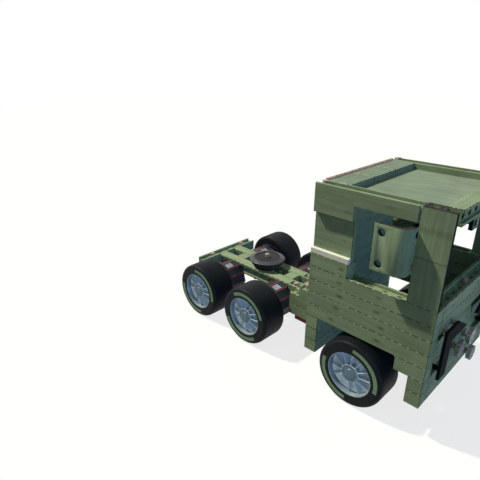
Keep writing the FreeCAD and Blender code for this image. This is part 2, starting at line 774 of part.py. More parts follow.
def rim_shape():
    """Deep rim: a flared dish with radial ribs round a flat hub disc, and the bearing bore behind it."""
    barrel = prism(tyre_bore, rim_edge + rim_edge, Y_AXIS * rim_edge, -Y_AXIS, rim_sides)
    flare = dish_floor + dish_flare
    front = turned([(hub_disc_radius, dish_floor), (rim_inner, flare), (rim_inner, rim_edge + overrun)],
                   ORIGIN, -Y_AXIS, rim_sides)
    rear_depth = rim_edge + overrun + dish_floor - dish_wall
    rear = prism(rim_inner, rear_depth, Y_AXIS * (rim_edge + overrun), -Y_AXIS, cavity_sides)
    hub_foot = Y_AXIS * -(dish_floor - overrun)
    hub = prism(hub_disc_radius, hub_face - dish_floor + overrun, hub_foot, -Y_AXIS, rim_sides)
    rib_root = hub_disc_radius - rim_wall
    rib_end = rim_inner + rim_wall * half
    outline = [(rib_root, dish_floor - rib_foot), (rib_root, hub_face - rim_inset),
               (rib_end, rim_edge - dish_wall), (rib_end, flare - rib_foot)]
    ribs = []
    for index in range(rib_count):
        rib = polygon_face([Vector(radius, -along, -rib_thickness * half) for radius, along in outline])
        rib = rib.extrude(Z_AXIS * rib_thickness)
        rib.rotate(ORIGIN, Y_AXIS, math.degrees(full_turn * index / rib_count))
        ribs.append(rib)
    stub_room = stub_end_y - wheel_centre_y + bearing_clearance
    bore = Part.makeCylinder(stub_radius + bearing_clearance, tyre_width, Y_AXIS * -stub_room, Y_AXIS)
    return fuse([barrel.cut(front).cut(rear), hub] + ribs).cut(bore)


def place_wheel(shape, x, side):
    """Move a wheel piece to its axle end; side is -1 right and 1 left."""
    copy = shape if side < 0 else mirrored(shape)
    copy = copy.copy()
    copy.translate(Vector(x, side * wheel_centre_y, axle_z))
    return copy


def main():
    os.makedirs("parts", exist_ok=True)
    export_pair("cab_side", cab_side())
    export_pair("cab_top_rail", cab_top_rail())
    export_both("side_panels", side_panel())
    export_both("side_strips", side_strip())
    export_both("pillars", pillar())
    export_both("mudflaps", mudflap())
    export_both("underfloor_plates", underfloor_plate())
    export("cab_rear_wall", cab_rear_wall())
    export("roof_panel", roof_panel())
    export("roof_front_beam", roof_front_beam())
    export("cowl_beam", cowl_beam())
    export("front_fascia", front_fascia())
    export_both("front_corners", front_corner())
    export("front_apron", front_apron())
    export_both("front_guards", front_guard())
    export("lamp_gears", Part.makeCompound(lamp_gears()))
    export_both("mirrors", mirror_bracket())
    export_both("frame_rails", frame_rail())
    export("rail_ties", rail_ties())
    export("rear_crossbeam", rear_crossbeam())
    export_both("side_blocks", side_block())
    export("deck_beams", deck_beams())
    export("beam_pegs", beam_pegs())
    export("roof_pegs", roof_pegs())
    export("hub_motors_mid", motors_at(mid_axle_x))
    export("hub_motors_rear", motors_at(rear_axle_x))
    export("turntable_base", turntable_base())
    export("turntable", turntable())
    export("front_axle", front_axle())
    export_pair("knuckle", knuckle())
    tyre = tyre_shape()
    rim = rim_shape()
    for axle, x in (("front", front_axle_x), ("mid", mid_axle_x), ("rear", rear_axle_x)):
        for side_name, side in (("right", -1), ("left", 1)):
            export("tyre_" + axle + "_" + side_name, place_wheel(tyre, x, side))
            export("rim_" + axle + "_" + side_name, place_wheel(rim, x, side))


main()
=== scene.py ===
"""Looks for a three-axle tractor unit built of pierced wooden beams, plates, pegs and slick tyres."""

import enum
import logging
import math
from dataclasses import dataclass, field
from functools import lru_cache
from typing import Callable, Iterable, Sequence

import bmesh
import bpy
from mathutils import Matrix, Vector


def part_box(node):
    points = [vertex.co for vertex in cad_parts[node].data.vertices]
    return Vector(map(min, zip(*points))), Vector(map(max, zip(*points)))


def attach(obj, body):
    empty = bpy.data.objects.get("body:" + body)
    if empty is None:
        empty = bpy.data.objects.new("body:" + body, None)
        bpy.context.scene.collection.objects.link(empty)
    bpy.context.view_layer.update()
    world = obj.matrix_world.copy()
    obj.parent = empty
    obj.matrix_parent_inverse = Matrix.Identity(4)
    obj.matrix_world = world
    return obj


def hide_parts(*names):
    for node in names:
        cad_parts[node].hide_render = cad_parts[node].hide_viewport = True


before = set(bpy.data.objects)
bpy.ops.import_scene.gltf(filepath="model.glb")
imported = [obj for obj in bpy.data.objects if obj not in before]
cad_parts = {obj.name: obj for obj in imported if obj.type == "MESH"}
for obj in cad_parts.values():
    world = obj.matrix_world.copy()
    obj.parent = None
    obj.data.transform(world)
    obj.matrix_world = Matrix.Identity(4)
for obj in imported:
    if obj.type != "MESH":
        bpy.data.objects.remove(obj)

LOG = logging.getLogger("tractor_unit")
AXLES = ("front", "mid", "rear")
# Side of a beam, which is the pitch of the whole lattice; all lengths are in metres
PITCH = 0.2
# Smallest angle of an edge that is eased, and the widths of eased edges
SHARP = math.radians(35.0)
THIN_EASE = 0.003
PLAIN_EASE = 0.004
# Share of a face's normal along an axis: looks straight along it, more along it than not, or slightly
SQUARE = 0.9
MAINLY = 0.5
SLIGHTLY = 0.2
# Slack in finding a corner or an edge by its place
NEAR = 1e-4
# Faces round a hole or a short peg
PEG_SIDES = 24

Colour = tuple[float, float, float]
Point = tuple[float, float, float]
Pair = tuple[float, float]
Floats = Sequence[float]
Obj = bpy.types.Object
Socket = bpy.types.NodeSocket
FaceTest = Callable[[Vector, Vector], bool]


class Axis(enum.Enum):
    """The three directions of the row frame."""

    X = 0
    Y = 1
    Z = 2

    @property
    def vector(self) -> Vector:
        """Unit vector along the axis."""
        return Vector(self.factors(1.0, 0.0))

    def factors(self, along: float, across: float) -> Point:
        """Three numbers, one of them along the axis and the others across it."""
        return tuple(along if index == self.value else across for index in range(3))


class Side(enum.Enum):
    """Right and left sides, with the sign of their Y."""

    RIGHT = -1
    LEFT = 1

    @property
    def word(self) -> str:
        """Lower-case name that the CAD nodes end in."""
        return self.name.lower()

    def pair(self, one: float, other: float) -> Pair:
        """Two distances from the middle as a rising pair of Y places on this side."""
        return tuple(sorted((self.value * one, self.value * other)))


class Element(enum.Enum):
    """What a selection is made of, with its list in a bmesh."""

    VERT = "verts"
    EDGE = "edges"
    FACE = "faces"


# Mesh work


def tune(item: object, settings: dict[str, object]) -> object:
    """Set an item's properties.

    Args:
        item: A modifier, a node, a light or a camera.
        settings: Values by the name of the property.

    Returns:
        The same item.
    """
    for key, value in settings.items():
        setattr(item, key, value)
    return item


def release() -> None:
    """Go back to object mode with nothing selected."""
    if bpy.context.object and bpy.context.object.mode != "OBJECT":
        bpy.ops.object.mode_set(mode="OBJECT")
    bpy.ops.object.select_all(action="DESELECT")


def take(obj: Obj) -> None:
    """Select one object alone and make it active.

    Args:
        obj: The object to work on.
    """
    release()
    obj.select_set(True)
    bpy.context.view_layer.objects.active = obj


def settle() -> Obj:
    """Move the new object's place into its mesh, and give it back at the origin."""
    bpy.ops.object.transform_apply(location=True, rotation=True, scale=True)
    return bpy.context.object


def add_block(low: Floats, high: Floats) -> Obj:
    """Add a block between two corners.

    Args:
        low: Lowest corner.
        high: Highest corner.

    Returns:
        The new mesh object.
    """
    release()
    middle = [(a + b) / 2 for a, b in zip(low, high)]
    size = [b - a for a, b in zip(low, high)]
    bpy.ops.mesh.primitive_cube_add(size=1, location=middle, scale=size)
    return settle()


def add_rod(radius: float, start: Floats, length: float, axis: Axis, sides: int = 32) -> Obj:
    """Add a round rod that starts at a point and runs along an axis.

    Args:
        radius: Radius of the rod.
        start: Centre of the end face where the rod starts.
        length: Length, towards the positive end of the axis.
        axis: Direction of the rod.
        sides: Number of faces round the rod.

    Returns:
        The new mesh object.
    """
    release()
    turn = {Axis.X: (0, math.pi / 2, 0), Axis.Y: (math.pi / 2, 0, 0), Axis.Z: (0, 0, 0)}[axis]
    bpy.ops.mesh.primitive_cylinder_add(vertices=sides, radius=radius, depth=length, rotation=turn,
                                        location=Vector(start) + axis.vector * (length / 2))
    return settle()


def pick(obj: Obj, element: Element, test: Callable[[object], bool]) -> None:
    """Enter edit mode and select the elements that pass a test.

    Args:
        obj: The object to edit.
        element: Kind of element.
        test: Called with each of them.
    """
    take(obj)
    bpy.ops.object.mode_set(mode="EDIT")
    bpy.ops.mesh.select_mode(type=element.name)
    bpy.ops.mesh.select_all(action="DESELECT")
    for item in getattr(bmesh.from_edit_mesh(obj.data), element.value):
        item.select_set(test(item))
    bmesh.update_edit_mesh(obj.data)


def pick_faces(obj: Obj, test: FaceTest) -> None:
    """Enter edit mode and select the faces whose centre and normal pass a test."""
    pick(obj, Element.FACE, lambda face: test(face.calc_center_median(), face.normal))


def pick_edges(obj: Obj, test: Callable[[Vector], bool]) -> None:
    """Enter edit mode and select the edges whose ends both pass a test."""
    pick(obj, Element.EDGE, lambda edge: all(test(vert.co) for vert in edge.verts))


def facing(axis: Axis, sign: int) -> FaceTest:
    """Test for faces that look straight along an axis."""
    return lambda centre, normal: normal[axis.value] * sign > SQUARE


def reach(place: Vector) -> float:
    """Distance of a place from the axle of a wheel at the origin."""
    return math.hypot(place.x, place.z)


def turns(count: int) -> list[float]:
    """Even turns round a circle in radians."""
    return [math.tau * index / count for index in range(count)]


def step_in(steps: Iterable[Pair], away: Vector) -> None:
    """Inset the selected faces and move them, one step after the other.

    Args:
        steps: Width and height of each step.
        away: Direction of a positive height.
    """
    for width, height in steps:
        bpy.ops.mesh.inset(thickness=width, use_individual=False)
        bpy.ops.transform.translate(value=away * height)


def align_normals(obj: Obj) -> None:
    """Make all faces point the same way, outwards on a closed shell.

    Args:
        obj: The object, which is left in object mode.
    """
    pick_faces(obj, lambda centre, normal: True)
    bpy.ops.mesh.normals_make_consistent(inside=False)
    release()


def paint_faces(obj: Obj, slot: int, test: FaceTest) -> None:
    """Give another of the object's materials to the faces whose centre and normal pass a test."""
    for face in filter(lambda face: test(face.center, face.normal), obj.data.polygons):
        face.material_index = slot


def modify(obj: Obj, kind: str, **settings: object) -> Obj:
    """Apply a modifier.

    Args:
        obj: The object to change.
        kind: Type of the modifier.
        **settings: Properties of the modifier.

    Returns:
        The same object.
    """
    take(obj)
    modifier = tune(obj.modifiers.new(kind, kind), settings)
    bpy.ops.object.modifier_apply(modifier=modifier.name)
    return obj


def ease_edges(obj: Obj, width: float, steps: int = 2, slot: int = -1) -> Obj:
    """Bevel the sharp edges, in the neighbours' material or in that of a slot."""
    return modify(obj, "BEVEL", width=width, segments=steps, limit_method="ANGLE", angle_limit=SHARP,
                  material=slot)


def cut_out(obj: Obj, cutters: Sequence[Obj]) -> None:
    """Take cutters that don't touch one another away from an object, and use them up.

    Args:
        obj: The object to cut.
        cutters: The cutting objects.
    """
    tool = unite(cutters)
    modify(obj, "BOOLEAN", operation="DIFFERENCE", object=tool)
    bpy.data.objects.remove(tool)


def unite(parts: Sequence[Obj]) -> Obj:
    """Join objects into one.

    Args:
        parts: The objects to join; the first one's materials lead.

    Returns:
        The joined object.
    """
    take(parts[0])
    for part in parts:
        part.select_set(True)
    if len(parts) > 1:
        bpy.ops.object.join()
    return bpy.context.view_layer.objects.active


def copy_moved(obj: Obj, place: Matrix) -> Obj:
    """Copy an object with a mesh of its own, and move the mesh.

    Args:
        obj: The object to copy.
        place: Where the mesh goes.

    Returns:
        The copy, its object still at the origin.
    """
    copy = obj.copy()
    copy.data = obj.data.copy()
    copy.data.transform(place)
    bpy.context.scene.collection.objects.link(copy)
    return copy


def smooth(obj: Obj, angle: float = 30.0) -> None:
    """Shade an object smooth up to an angle in degrees."""
    take(obj)
    bpy.ops.object.shade_smooth_by_angle(angle=math.radians(angle))


def hand_in(node: str, parts: Sequence[Obj], body: str = "root") -> None:
    """Join the parts of a finished piece, hide the CAD node that it stands for, and hang it on its body.

    Args:
        node: CAD node that the piece stands for.
        parts: The parts of the piece.
        body: Body that it rides on.
    """
    obj = unite(parts)
    obj.name = obj.data.name = node + "_dressed"
    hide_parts(node)
    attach(obj, body)
    LOG.info("%s: %d faces on %s", obj.name, len(obj.data.polygons), body)


# Finishes


class Graph:
    """The nodes of a material or of the world, with short calls to add and join them."""

    def __init__(self, owner: bpy.types.ID) -> None:
        """Start from the nodes that a new material or world has.

        Args:
            owner: The material or world.
        """
        owner.use_nodes = True
        self.owner = owner
        self.tree = owner.node_tree
        outputs = [node for node in self.tree.nodes if "Surface" in node.inputs]
        self.surface = outputs[0].inputs["Surface"]
        self.shader = self.surface.links[0].from_node

    def feed(self, source: object, target: Socket) -> None:
        """Link a socket, or set a plain value.

        Args:
            source: A socket or a value.
            target: The input that takes it.
        """
        if isinstance(source, Socket):
            self.tree.links.new(source, target)
        elif target.type == "RGBA" and len(source) == 3:
            target.default_value = (*source, 1.0)
        else:
            target.default_value = source

    def set(self, name: str, source: object) -> None:
        """Feed one of the shader's inputs."""
        self.feed(source, self.shader.inputs[name])

    def node(self, kind: str, inputs: dict[int | str, object], **settings: object) -> bpy.types.NodeOutputs:
        """Add a node.

        Args:
            kind: Node type without the ShaderNode prefix.
            inputs: Sockets and values for its inputs.
            **settings: Properties of the node.

        Returns:
            The node's outputs.
        """
        node = tune(self.tree.nodes.new("ShaderNode" + kind), settings)
        for key, source in inputs.items():
            self.feed(source, node.inputs[key])
        return node.outputs

    def place(self, scale: Point = (1, 1, 1), centre: Point = (0, 0, 0)) -> Socket:
        """Object coordinates, centred and then scaled."""
        inputs = {"Location": [-c * s for c, s in zip(centre, scale)], "Scale": scale}
        return self.node("Mapping", inputs | {"Vector": self.node("TexCoord", {})["Object"]})["Vector"]

    def parts(self, vector: Socket) -> bpy.types.NodeOutputs:
        """X, Y and Z of a vector."""
        return self.node("SeparateXYZ", {0: vector})

    def noise(self, vector: Socket, scale: float, detail: float = 4, rough: float = 0.5,
              twist: float = 0) -> Socket:
        """Noise from 0 to 1, with so many waves a metre, finer layers, their strength and a twist."""
        return self.node("TexNoise", {"Vector": vector, "Scale": scale, "Detail": detail,
                                      "Roughness": rough, "Distortion": twist})["Fac"]

    def random(self, seed: Socket) -> Socket:
        """A number from 0 to 1 that stays the same for the same seed."""
        return self.node("TexWhiteNoise", {"W": seed}, noise_dimensions="1D")["Value"]

    def calc(self, operation: str, first: object, second: object = 0.0) -> Socket:
        """One step of arithmetic."""
        return self.node("Math", {0: first, 1: second}, operation=operation)[0]

    def spread(self, value: Socket, start: float, end: float, low: float = 0.0, high: float = 1.0) -> Socket:
        """Map the range from start to end to that from low to high, clamped and eased."""
        inputs = {"Value": value, "From Min": start, "From Max": end, "To Min": low, "To Max": high}
        return self.node("MapRange", inputs, interpolation_type="SMOOTHSTEP")["Result"]

    def blend(self, factor: object, first: object, second: object, way: str = "MIX") -> Socket:
        """Blend two colours, by the share of the second."""
        return self.node("Mix", {0: factor, 6: first, 7: second}, data_type="RGBA", blend_type=way)[2]

    def raise_by(self, height: Socket, depth: float, strength: float) -> None:
        """Bump the surface by a height from 0 to 1, to a depth in metres."""
        self.set("Normal", self.node("Bump", {"Distance": depth, "Strength": strength, "Height": height})[0])

    def seen(self) -> Socket:
        """One for rays that show the background, else zero."""
        path = self.node("LightPath", {})
        return self.calc("MAXIMUM", self.calc("MAXIMUM", path["Is Camera Ray"], path["Is Glossy Ray"]),
                         path["Is Transmission Ray"])

    def whiten(self, kind: str, share: Socket) -> None:
        """Mix the shader with plain white light.

        Args:
            kind: Node type of the white.
            share: Share of the white.
        """
        white = self.node(kind, {"Color": (1, 1, 1)})[0]
        self.feed(self.node("MixShader", {0: share, 1: self.shader.outputs[0], 2: white})[0], self.surface)


@dataclass(frozen=True)
class PaintedWood:
    """Worn matt paint over softwood grain, with brown knots that show through."""

    name: str
    grain: Axis = Axis.X
    paint: Colour = (0.285, 0.36, 0.237)
    shade: Colour = (0.222, 0.29, 0.183)
    knot: Colour = (0.085, 0.06, 0.03)
    row_foot: float = 0.428
    knots_at: tuple[float, ...] = (0.97, 1.62)
    knot_drift: float = 0.12
    knot_length: float = 0.055
    knot_height: float = 0.13
    knot_strength: float = 0.8
    stain: Colour = (0.2, 0.17, 0.085)

    def build(self) -> bpy.types.Material:
        """Make the material.

        Returns:
            The material.
        """
        graph = Graph(bpy.data.materials.new(self.name))
        broad = self.grain.factors(0.7, 6.0)
        streaks = graph.noise(graph.place(self.grain.factors(1.4, 26.0)), 1.0, 5, 0.55, 0.5)
        figure = graph.noise(graph.place(broad), 1.0, 3, 0.5, 1.4)
        blotch = graph.noise(graph.place(), 2.1, 3, 0.5)
        patches = graph.noise(graph.place(broad, (0.31, 0.17, 0.23)), 1.6, 3, 0.6)
        parts = graph.parts(graph.place(centre=(0, 0, self.row_foot)))
        row = graph.calc("FLOOR", graph.calc("DIVIDE", parts[2], PITCH))
        row_tint = graph.blend(graph.random(row), (0.92, 0.92, 0.92), (1.06, 1.06, 1.04))
        light = graph.blend(graph.spread(blotch, 0.3, 0.7), (0.9, 0.9, 0.88), (1.1, 1.1, 1.06))
        colour = graph.blend(graph.spread(streaks, 0.3, 0.7), self.shade, self.paint)
        colour = graph.blend(graph.spread(figure, 0.4, 0.75, 0.0, 0.4), colour, self.shade)
        for tint in (light, row_tint):
            colour = graph.blend(1.0, colour, tint, "MULTIPLY")
        colour = graph.blend(graph.spread(patches, 0.56, 0.78, 0.0, 0.55), colour, self.stain)
        graph.set("Base Color", graph.blend(self.knot_mask(graph, parts, streaks), colour, self.knot))
        graph.set("Roughness", graph.spread(streaks, 0.3, 0.7, 0.75, 0.6))
        graph.set("Specular IOR Level", 0.2)
        graph.raise_by(streaks, 0.0012, 0.35)
        return graph.owner

    def knot_mask(self, graph: Graph, parts: bpy.types.NodeOutputs, streaks: Socket) -> object:
        """Where the knots show, at about the same place in each row.

        Args:
            graph: The material's nodes.
            parts: X, Y and height over the lowest row.
            streaks: The grain, which frays the knots' edges.

        Returns:
            A value from 0 to 1.
        """
        along = parts[self.grain.value]
        cross = graph.calc("DIVIDE", parts[1 if self.grain is Axis.Z else 2], PITCH)
        row = graph.calc("FLOOR", cross)
        drop = graph.calc("SUBTRACT", graph.calc("FRACT", cross), 0.5)
        drop = graph.calc("DIVIDE", drop, self.knot_height)
        total: object = 0.0
        for index, place in enumerate(self.knots_at):
            shift = graph.random(graph.calc("ADD", row, 7.0 * index + 0.5))
            shift = graph.calc("MULTIPLY", shift, self.knot_drift)
            centre = graph.calc("ADD", shift, place - self.knot_drift / 2)
            run = graph.calc("DIVIDE", graph.calc("SUBTRACT", along, centre), self.knot_length)
            squares = [graph.calc("MULTIPLY", value, value) for value in (run, drop)]
            far = graph.calc("SQRT", graph.calc("ADD", *squares))
            frayed = graph.calc("ADD", far, graph.calc("MULTIPLY", streaks, 2.4))
            total = graph.calc("MAXIMUM", total, graph.spread(frayed, 1.1, 2.6, self.knot_strength, 0.0))
        return total


@dataclass(frozen=True)
class WornEdge:
    """Eased edge painted dark as the shade in the seam between beams, with dashes of pale wood on its
    upward-facing parts that are partly worn paint and partly painted highlights.
    """

    name: str
    grain: Axis = Axis.X
    # Painted seam shade on the eased edges
    dark: Colour = (0.03, 0.036, 0.022)
    # Pale dashes: worn chips and painted highlights
    pale: Colour = (0.62, 0.6, 0.42)
    chip_step: float = 0.11
    chip_share: float = 0.24
    chip_end: float = 0.04

    def build(self) -> bpy.types.Material:
        """Make the material.

        Returns:
            The material.
        """
        graph = Graph(bpy.data.materials.new(self.name))
        dashes = graph.noise(graph.place(self.grain.factors(7.0, 22.0)), 1.0, 2, 0.6)
        rise = graph.parts(graph.node("NewGeometry", {})["Normal"])[2]
        along = graph.calc("DIVIDE", graph.parts(graph.place())[self.grain.value], self.chip_step)
        chip = graph.spread(graph.calc("FRACT", graph.calc("ADD", along, dashes)),
                            self.chip_share, self.chip_share + self.chip_end, 1.0, 0.0)
        chips_and_highlights = graph.calc("MAXIMUM", chip, graph.spread(dashes, 0.64, 0.67))
        # The dashes show only where the edge faces upwards, as painted highlights where the light falls on
        # the tops
        chips_and_highlights = graph.calc("MULTIPLY", graph.spread(rise, 0.2, 0.4), chips_and_highlights)
        graph.set("Base Color", graph.blend(chips_and_highlights, self.dark, self.pale))
        graph.set("Roughness", 0.8)
        graph.set("Specular IOR Level", 0.2)
        return graph.owner


@dataclass(frozen=True)
class PlainPaint:
    """One colour with faint blotches, dust and scratches."""

    name: str
    colour: Colour
    rough: float = 0.55
    metal: float = 0.0
    fleck: float = 0.12
    fine: float = 40.0
    depth: float = 0.0006
    shine: float = 0.3

    def build(self) -> bpy.types.Material:
        """Make the material.

        Returns:
            The material.
        """
        graph = Graph(bpy.data.materials.new(self.name))
        broad = graph.noise(graph.place(), 3.0, 4, 0.6)
        fine = graph.noise(graph.place(), self.fine, 5, 0.6)
        dark = tuple(value * (1 - self.fleck) for value in self.colour)
        light = tuple(min(1.0, value * (1 + self.fleck) + self.fleck * 0.02) for value in self.colour)
        colour = graph.blend(graph.spread(broad, 0.3, 0.7), dark, light)
        graph.set("Base Color", graph.blend(graph.spread(fine, 0.4, 0.6, 0.0, 0.6), colour, light))
        graph.set("Roughness", graph.spread(fine, 0.3, 0.7, self.rough - 0.06, self.rough + 0.06))
        graph.set("Metallic", self.metal)
        graph.set("Specular IOR Level", self.shine)
        graph.raise_by(fine, self.depth, 0.5)
        return graph.owner


@dataclass(frozen=True)
class BareWood:
    """Unpainted softwood of the pegs, end grain and all."""

    name: str
    light: Colour = (0.5, 0.36, 0.3)
    dark: Colour = (0.3, 0.2, 0.17)

    def build(self) -> bpy.types.Material:
        """Make the material.

        Returns:
            The material.
        """
        graph = Graph(bpy.data.materials.new(self.name))
        rings = graph.noise(graph.place(), 45.0, 4, 0.6, 0.6)
        broad = graph.noise(graph.place(), 7.0, 2)
        colour = graph.blend(graph.spread(rings, 0.35, 0.65), self.dark, self.light)
        graph.set("Base Color", graph.blend(graph.spread(broad, 0.4, 0.6, 0.0, 0.5), colour, self.light))
        graph.set("Roughness", 0.7)
        graph.raise_by(rings, 0.001, 0.5)
        return graph.owner


@lru_cache(maxsize=None)
def dress(finish: object) -> bpy.types.Material:
    """The material of a finish, made once."""
    return finish.build()


def coat(obj: Obj, *finishes: object) -> Obj:
    """Give an object its materials in order.

    Args:
        obj: The object.
        *finishes: Finishes for slot 0, 1 and so on.

    Returns:
        The same object.
    """
    obj.data.materials.clear()
    for finish in finishes:
        obj.data.materials.append(dress(finish))
    return obj


WOOD_ALONG = PaintedWood("painted_wood_along")
RAIL_WOOD = PaintedWood("painted_rail", knot_strength=0.3)
STRIP_WOOD = PaintedWood("painted_strip", Axis.Y, (0.2, 0.262, 0.205), (0.165, 0.22, 0.162),
                         knots_at=(-0.14, 0.42))
WOOD_ACROSS = PaintedWood("painted_wood_across", Axis.Y, knots_at=(-0.62, 0.31))
WOOD_UPRIGHT = PaintedWood("painted_wood_upright", Axis.Z, (0.305, 0.39, 0.257), (0.245, 0.32, 0.203),
                           knots_at=(2.35,), knot_strength=0.35, stain=(0.24, 0.25, 0.13))
PANEL_WOOD = PaintedWood("painted_panel", Axis.X, (0.24, 0.305, 0.236), (0.2, 0.262, 0.193), knots_at=(),
                         stain=(0.3, 0.26, 0.17))
# Eased edges with painted seam shade, and pale dashes of wear and painted highlight
EDGE_ALONG = WornEdge("worn_edge_along")
EDGE_ACROSS = WornEdge("worn_edge_across", Axis.Y)
EDGE_RAIL = WornEdge("worn_edge_rail", chip_step=0.2, chip_share=0.4)
EDGE_STRIP = WornEdge("worn_edge_strip", chip_step=0.16, chip_share=0.6)
PLATE_EDGE = PlainPaint("plate_edge", (0.045, 0.035, 0.036), 0.9, fleck=0.35, shine=0.0)
PALE_STRIP = PlainPaint("pale_strip", (0.85, 0.83, 0.74), 0.5, fleck=0.06)
RED_PLATE = PlainPaint("red_plate", (0.14, 0.02, 0.016), 0.6, shine=0.2)
PEG = BareWood("peg_wood")
BLACK_METAL = PlainPaint("black_metal", (0.008, 0.01, 0.012), 0.8, fleck=0.3, shine=0.03)
# Strong fine flecks of a lighter colour: painted glints as well as scratches
LAMP_METAL = PlainPaint("lamp_metal", (0.21, 0.23, 0.23), 0.5, 0.5, 0.8, 60.0, 0.012)
MOTOR_SHELL = PlainPaint("motor_shell", (0.016, 0.024, 0.034), 0.5, fleck=0.3, shine=0.2)
MOTOR_RIB = PlainPaint("motor_rib", (0.19, 0.014, 0.014), 0.45, fleck=0.3)
FIN_METAL = PlainPaint("fin_metal", (0.5, 0.54, 0.58), 0.35, 0.6, 0.3, 60.0)
DISC_STEEL = PlainPaint("turntable_metal", (0.022, 0.02, 0.025), 0.6, 0.0, 0.3, shine=0.12)
# Lighter, more metallic edge: a painted glint along the disc's rim
DISC_EDGE = PlainPaint("turntable_edge", (0.045, 0.045, 0.055), 0.4, 0.1, 0.6, 30.0, 0.004, 0.2)
AXLE_STEEL = PlainPaint("axle_steel", (0.03, 0.035, 0.04), 0.5, 0.3, 0.25)
RUBBER = PlainPaint("tyre", (0.0065, 0.0085, 0.0115), 0.45, fleck=0.2, shine=0.08)
BAND = PlainPaint("sidewall_band", (0.23, 0.36, 0.22), 0.6, fleck=0.15, shine=0.2)
RIM_METAL = PlainPaint("rim_metal", (0.26, 0.32, 0.35), 0.42, 0.4, 0.08, 14.0, 0.0)
# Lighter copy of the rim metal for the dish floor and the ribs: painted light against the shade of the deep
# pockets
RIM_DISH_LIT = PlainPaint("rim_dish", (0.51, 0.59, 0.63), 0.5, 0.4, 0.08, 14.0, 0.0)
RIM_HUB = PlainPaint("rim_hub", (0.11, 0.175, 0.23), 0.42, 0.4, 0.08, 14.0, 0.0)
HUB_BLUE = PlainPaint("hub_blue", (0.012, 0.02, 0.2), 0.4)


# Beams


@dataclass
class Beam:
    """One painted beam with eased edges, and a grooved face with a row of round holes."""

    low: Point
    high: Point
    along: Axis
    face: Axis | None
    outward: int
    holes: Pair
    through: bool
    groove: float = 0.124
    groove_depth: float = 0.04
    hole_radius: float = 0.047
    hole_depth: float = 0.03
    edge: float = 0.005
    overrun: float = 0.004

    def build(self) -> Obj:
        """Make the beam's mesh.

        Returns:
            The beam, painted, with painted seam shade, painted highlights and worn chips on its eased edges.
        """
        obj = add_block(self.low, self.high)
        coat(obj, *((WOOD_ALONG, EDGE_ALONG) if self.along is Axis.X else (WOOD_ACROSS, EDGE_ACROSS)))
        ease_edges(obj, self.edge, slot=1)
        if self.face:
            cut_out(obj, [self.groove_block()])
            cut_out(obj, self.hole_rods())
        return obj

    def span(self, *depths: float) -> Pair:
        """Two depths below the grooved face as a rising pair of places."""
        level = (self.high if self.outward > 0 else self.low)[self.face.value]
        return tuple(sorted(level - self.outward * depth for depth in depths))

    def groove_block(self) -> Obj:
        """Cutter for the groove.

        Returns:
            The block, which runs past the beam's ends where the holes reach them.
        """
        along, face = self.along.value, self.face.value
        middle = 3 - along - face
        low, high = list(self.low), list(self.high)
        low[along] = self.holes[0] - self.overrun * (self.holes[0] <= self.low[along])
        high[along] = self.holes[1] + self.overrun * (self.holes[1] >= self.high[along])
        centre = (self.low[middle] + self.high[middle]) / 2
        low[middle], high[middle] = centre - self.groove / 2, centre + self.groove / 2
        low[face], high[face] = self.span(self.groove_depth, -self.overrun)
        return add_block(low, high)

    def hole_rods(self) -> list[Obj]:
        """Cutters for the holes.

        Returns:
            One rod for each hole.
        """
        along, face = self.along.value, self.face.value
        deep = self.groove_depth + self.hole_depth
        if self.through:
            deep = self.high[face] - self.low[face] + self.overrun
        low, high = self.span(deep, self.groove_depth - self.overrun)
        start = [(a + b) / 2 for a, b in zip(self.low, self.high)]
        start[face] = low
        rods = []
        for index in range(round((self.holes[1] - self.holes[0]) / PITCH)):
            start[along] = self.holes[0] + (index + 0.5) * PITCH
            rods.append(add_rod(self.hole_radius, start, high - low, self.face, PEG_SIDES))
        return rods


@dataclass(frozen=True)
class Row:
    """A right-hand or middle beam in lattice units.

    X counts from the cab's rear, Y from its right wall and Z, the beam's lower side, from the skirt.
    """

    x: Pair
    y: Pair
    z: float
    along: Axis = Axis.X
    face: Axis | None = None
    outward: int = 1
    holes: Pair = (0.0, 0.0)
    through: bool = False


@dataclass
class Lattice:
    """The beam grid of the whole vehicle, read from the CAD nodes."""

    rear: float = field(init=False)
    skirt: float = field(init=False)
    columns: float = field(init=False)

    def __post_init__(self) -> None:
        """Read the grid's planes from the right wall."""
        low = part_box("cab_side_right")[0]
        self.rear, self.skirt, self.columns = low[0], low[2], -2 * low[1] / PITCH

    def x(self, units: float) -> float:
        """Place along the length in metres."""
        return self.rear + units * PITCH

    def y(self, units: float) -> float:
        """Place across the width in metres."""
        return (units - self.columns / 2) * PITCH

    def z(self, units: float) -> float:
        """Height in metres."""
        return self.skirt + units * PITCH

    def point(self, x: float, y: float, z: float) -> Point:
        """Place of a lattice point in metres."""
        return self.x(x), self.y(y), self.z(z)

    def units_x(self, place: float) -> float:
        """Lattice units of a place along the length."""
        return (place - self.rear) / PITCH

    def beam(self, row: Row, side: Side) -> Obj:
        """Build one beam, mirrored for the left side.

        Args:
            row: The beam in lattice units.
            side: Which side it is for.

        Returns:
            The beam's object.
        """
        y = side.pair(*(-self.y(value) for value in row.y))
        low = (self.x(row.x[0]), y[0], self.z(row.z))
        high = (self.x(row.x[1]), y[1], self.z(row.z + 1))
        holes = tuple(self.x(value) if row.along is Axis.X else self.y(value) for value in row.holes)
        outward = row.outward * (-side.value if row.face is Axis.Y else 1)
        return Beam(low, high, row.along, row.face, outward, holes, row.through).build()

    def beams(self, rows: Sequence[Row], sides: Iterable[Side] = (Side.RIGHT,)) -> list[Obj]:
        """Build rows of beams for one or both sides."""
        return [self.beam(row, side) for side in sides for row in rows]

    def lay(self, node: str, rows: Sequence[Row], sides: Iterable[Side] = (Side.RIGHT,)) -> None:
        """Build rows of beams as one piece."""
        hand_in(node, self.beams(rows, sides))


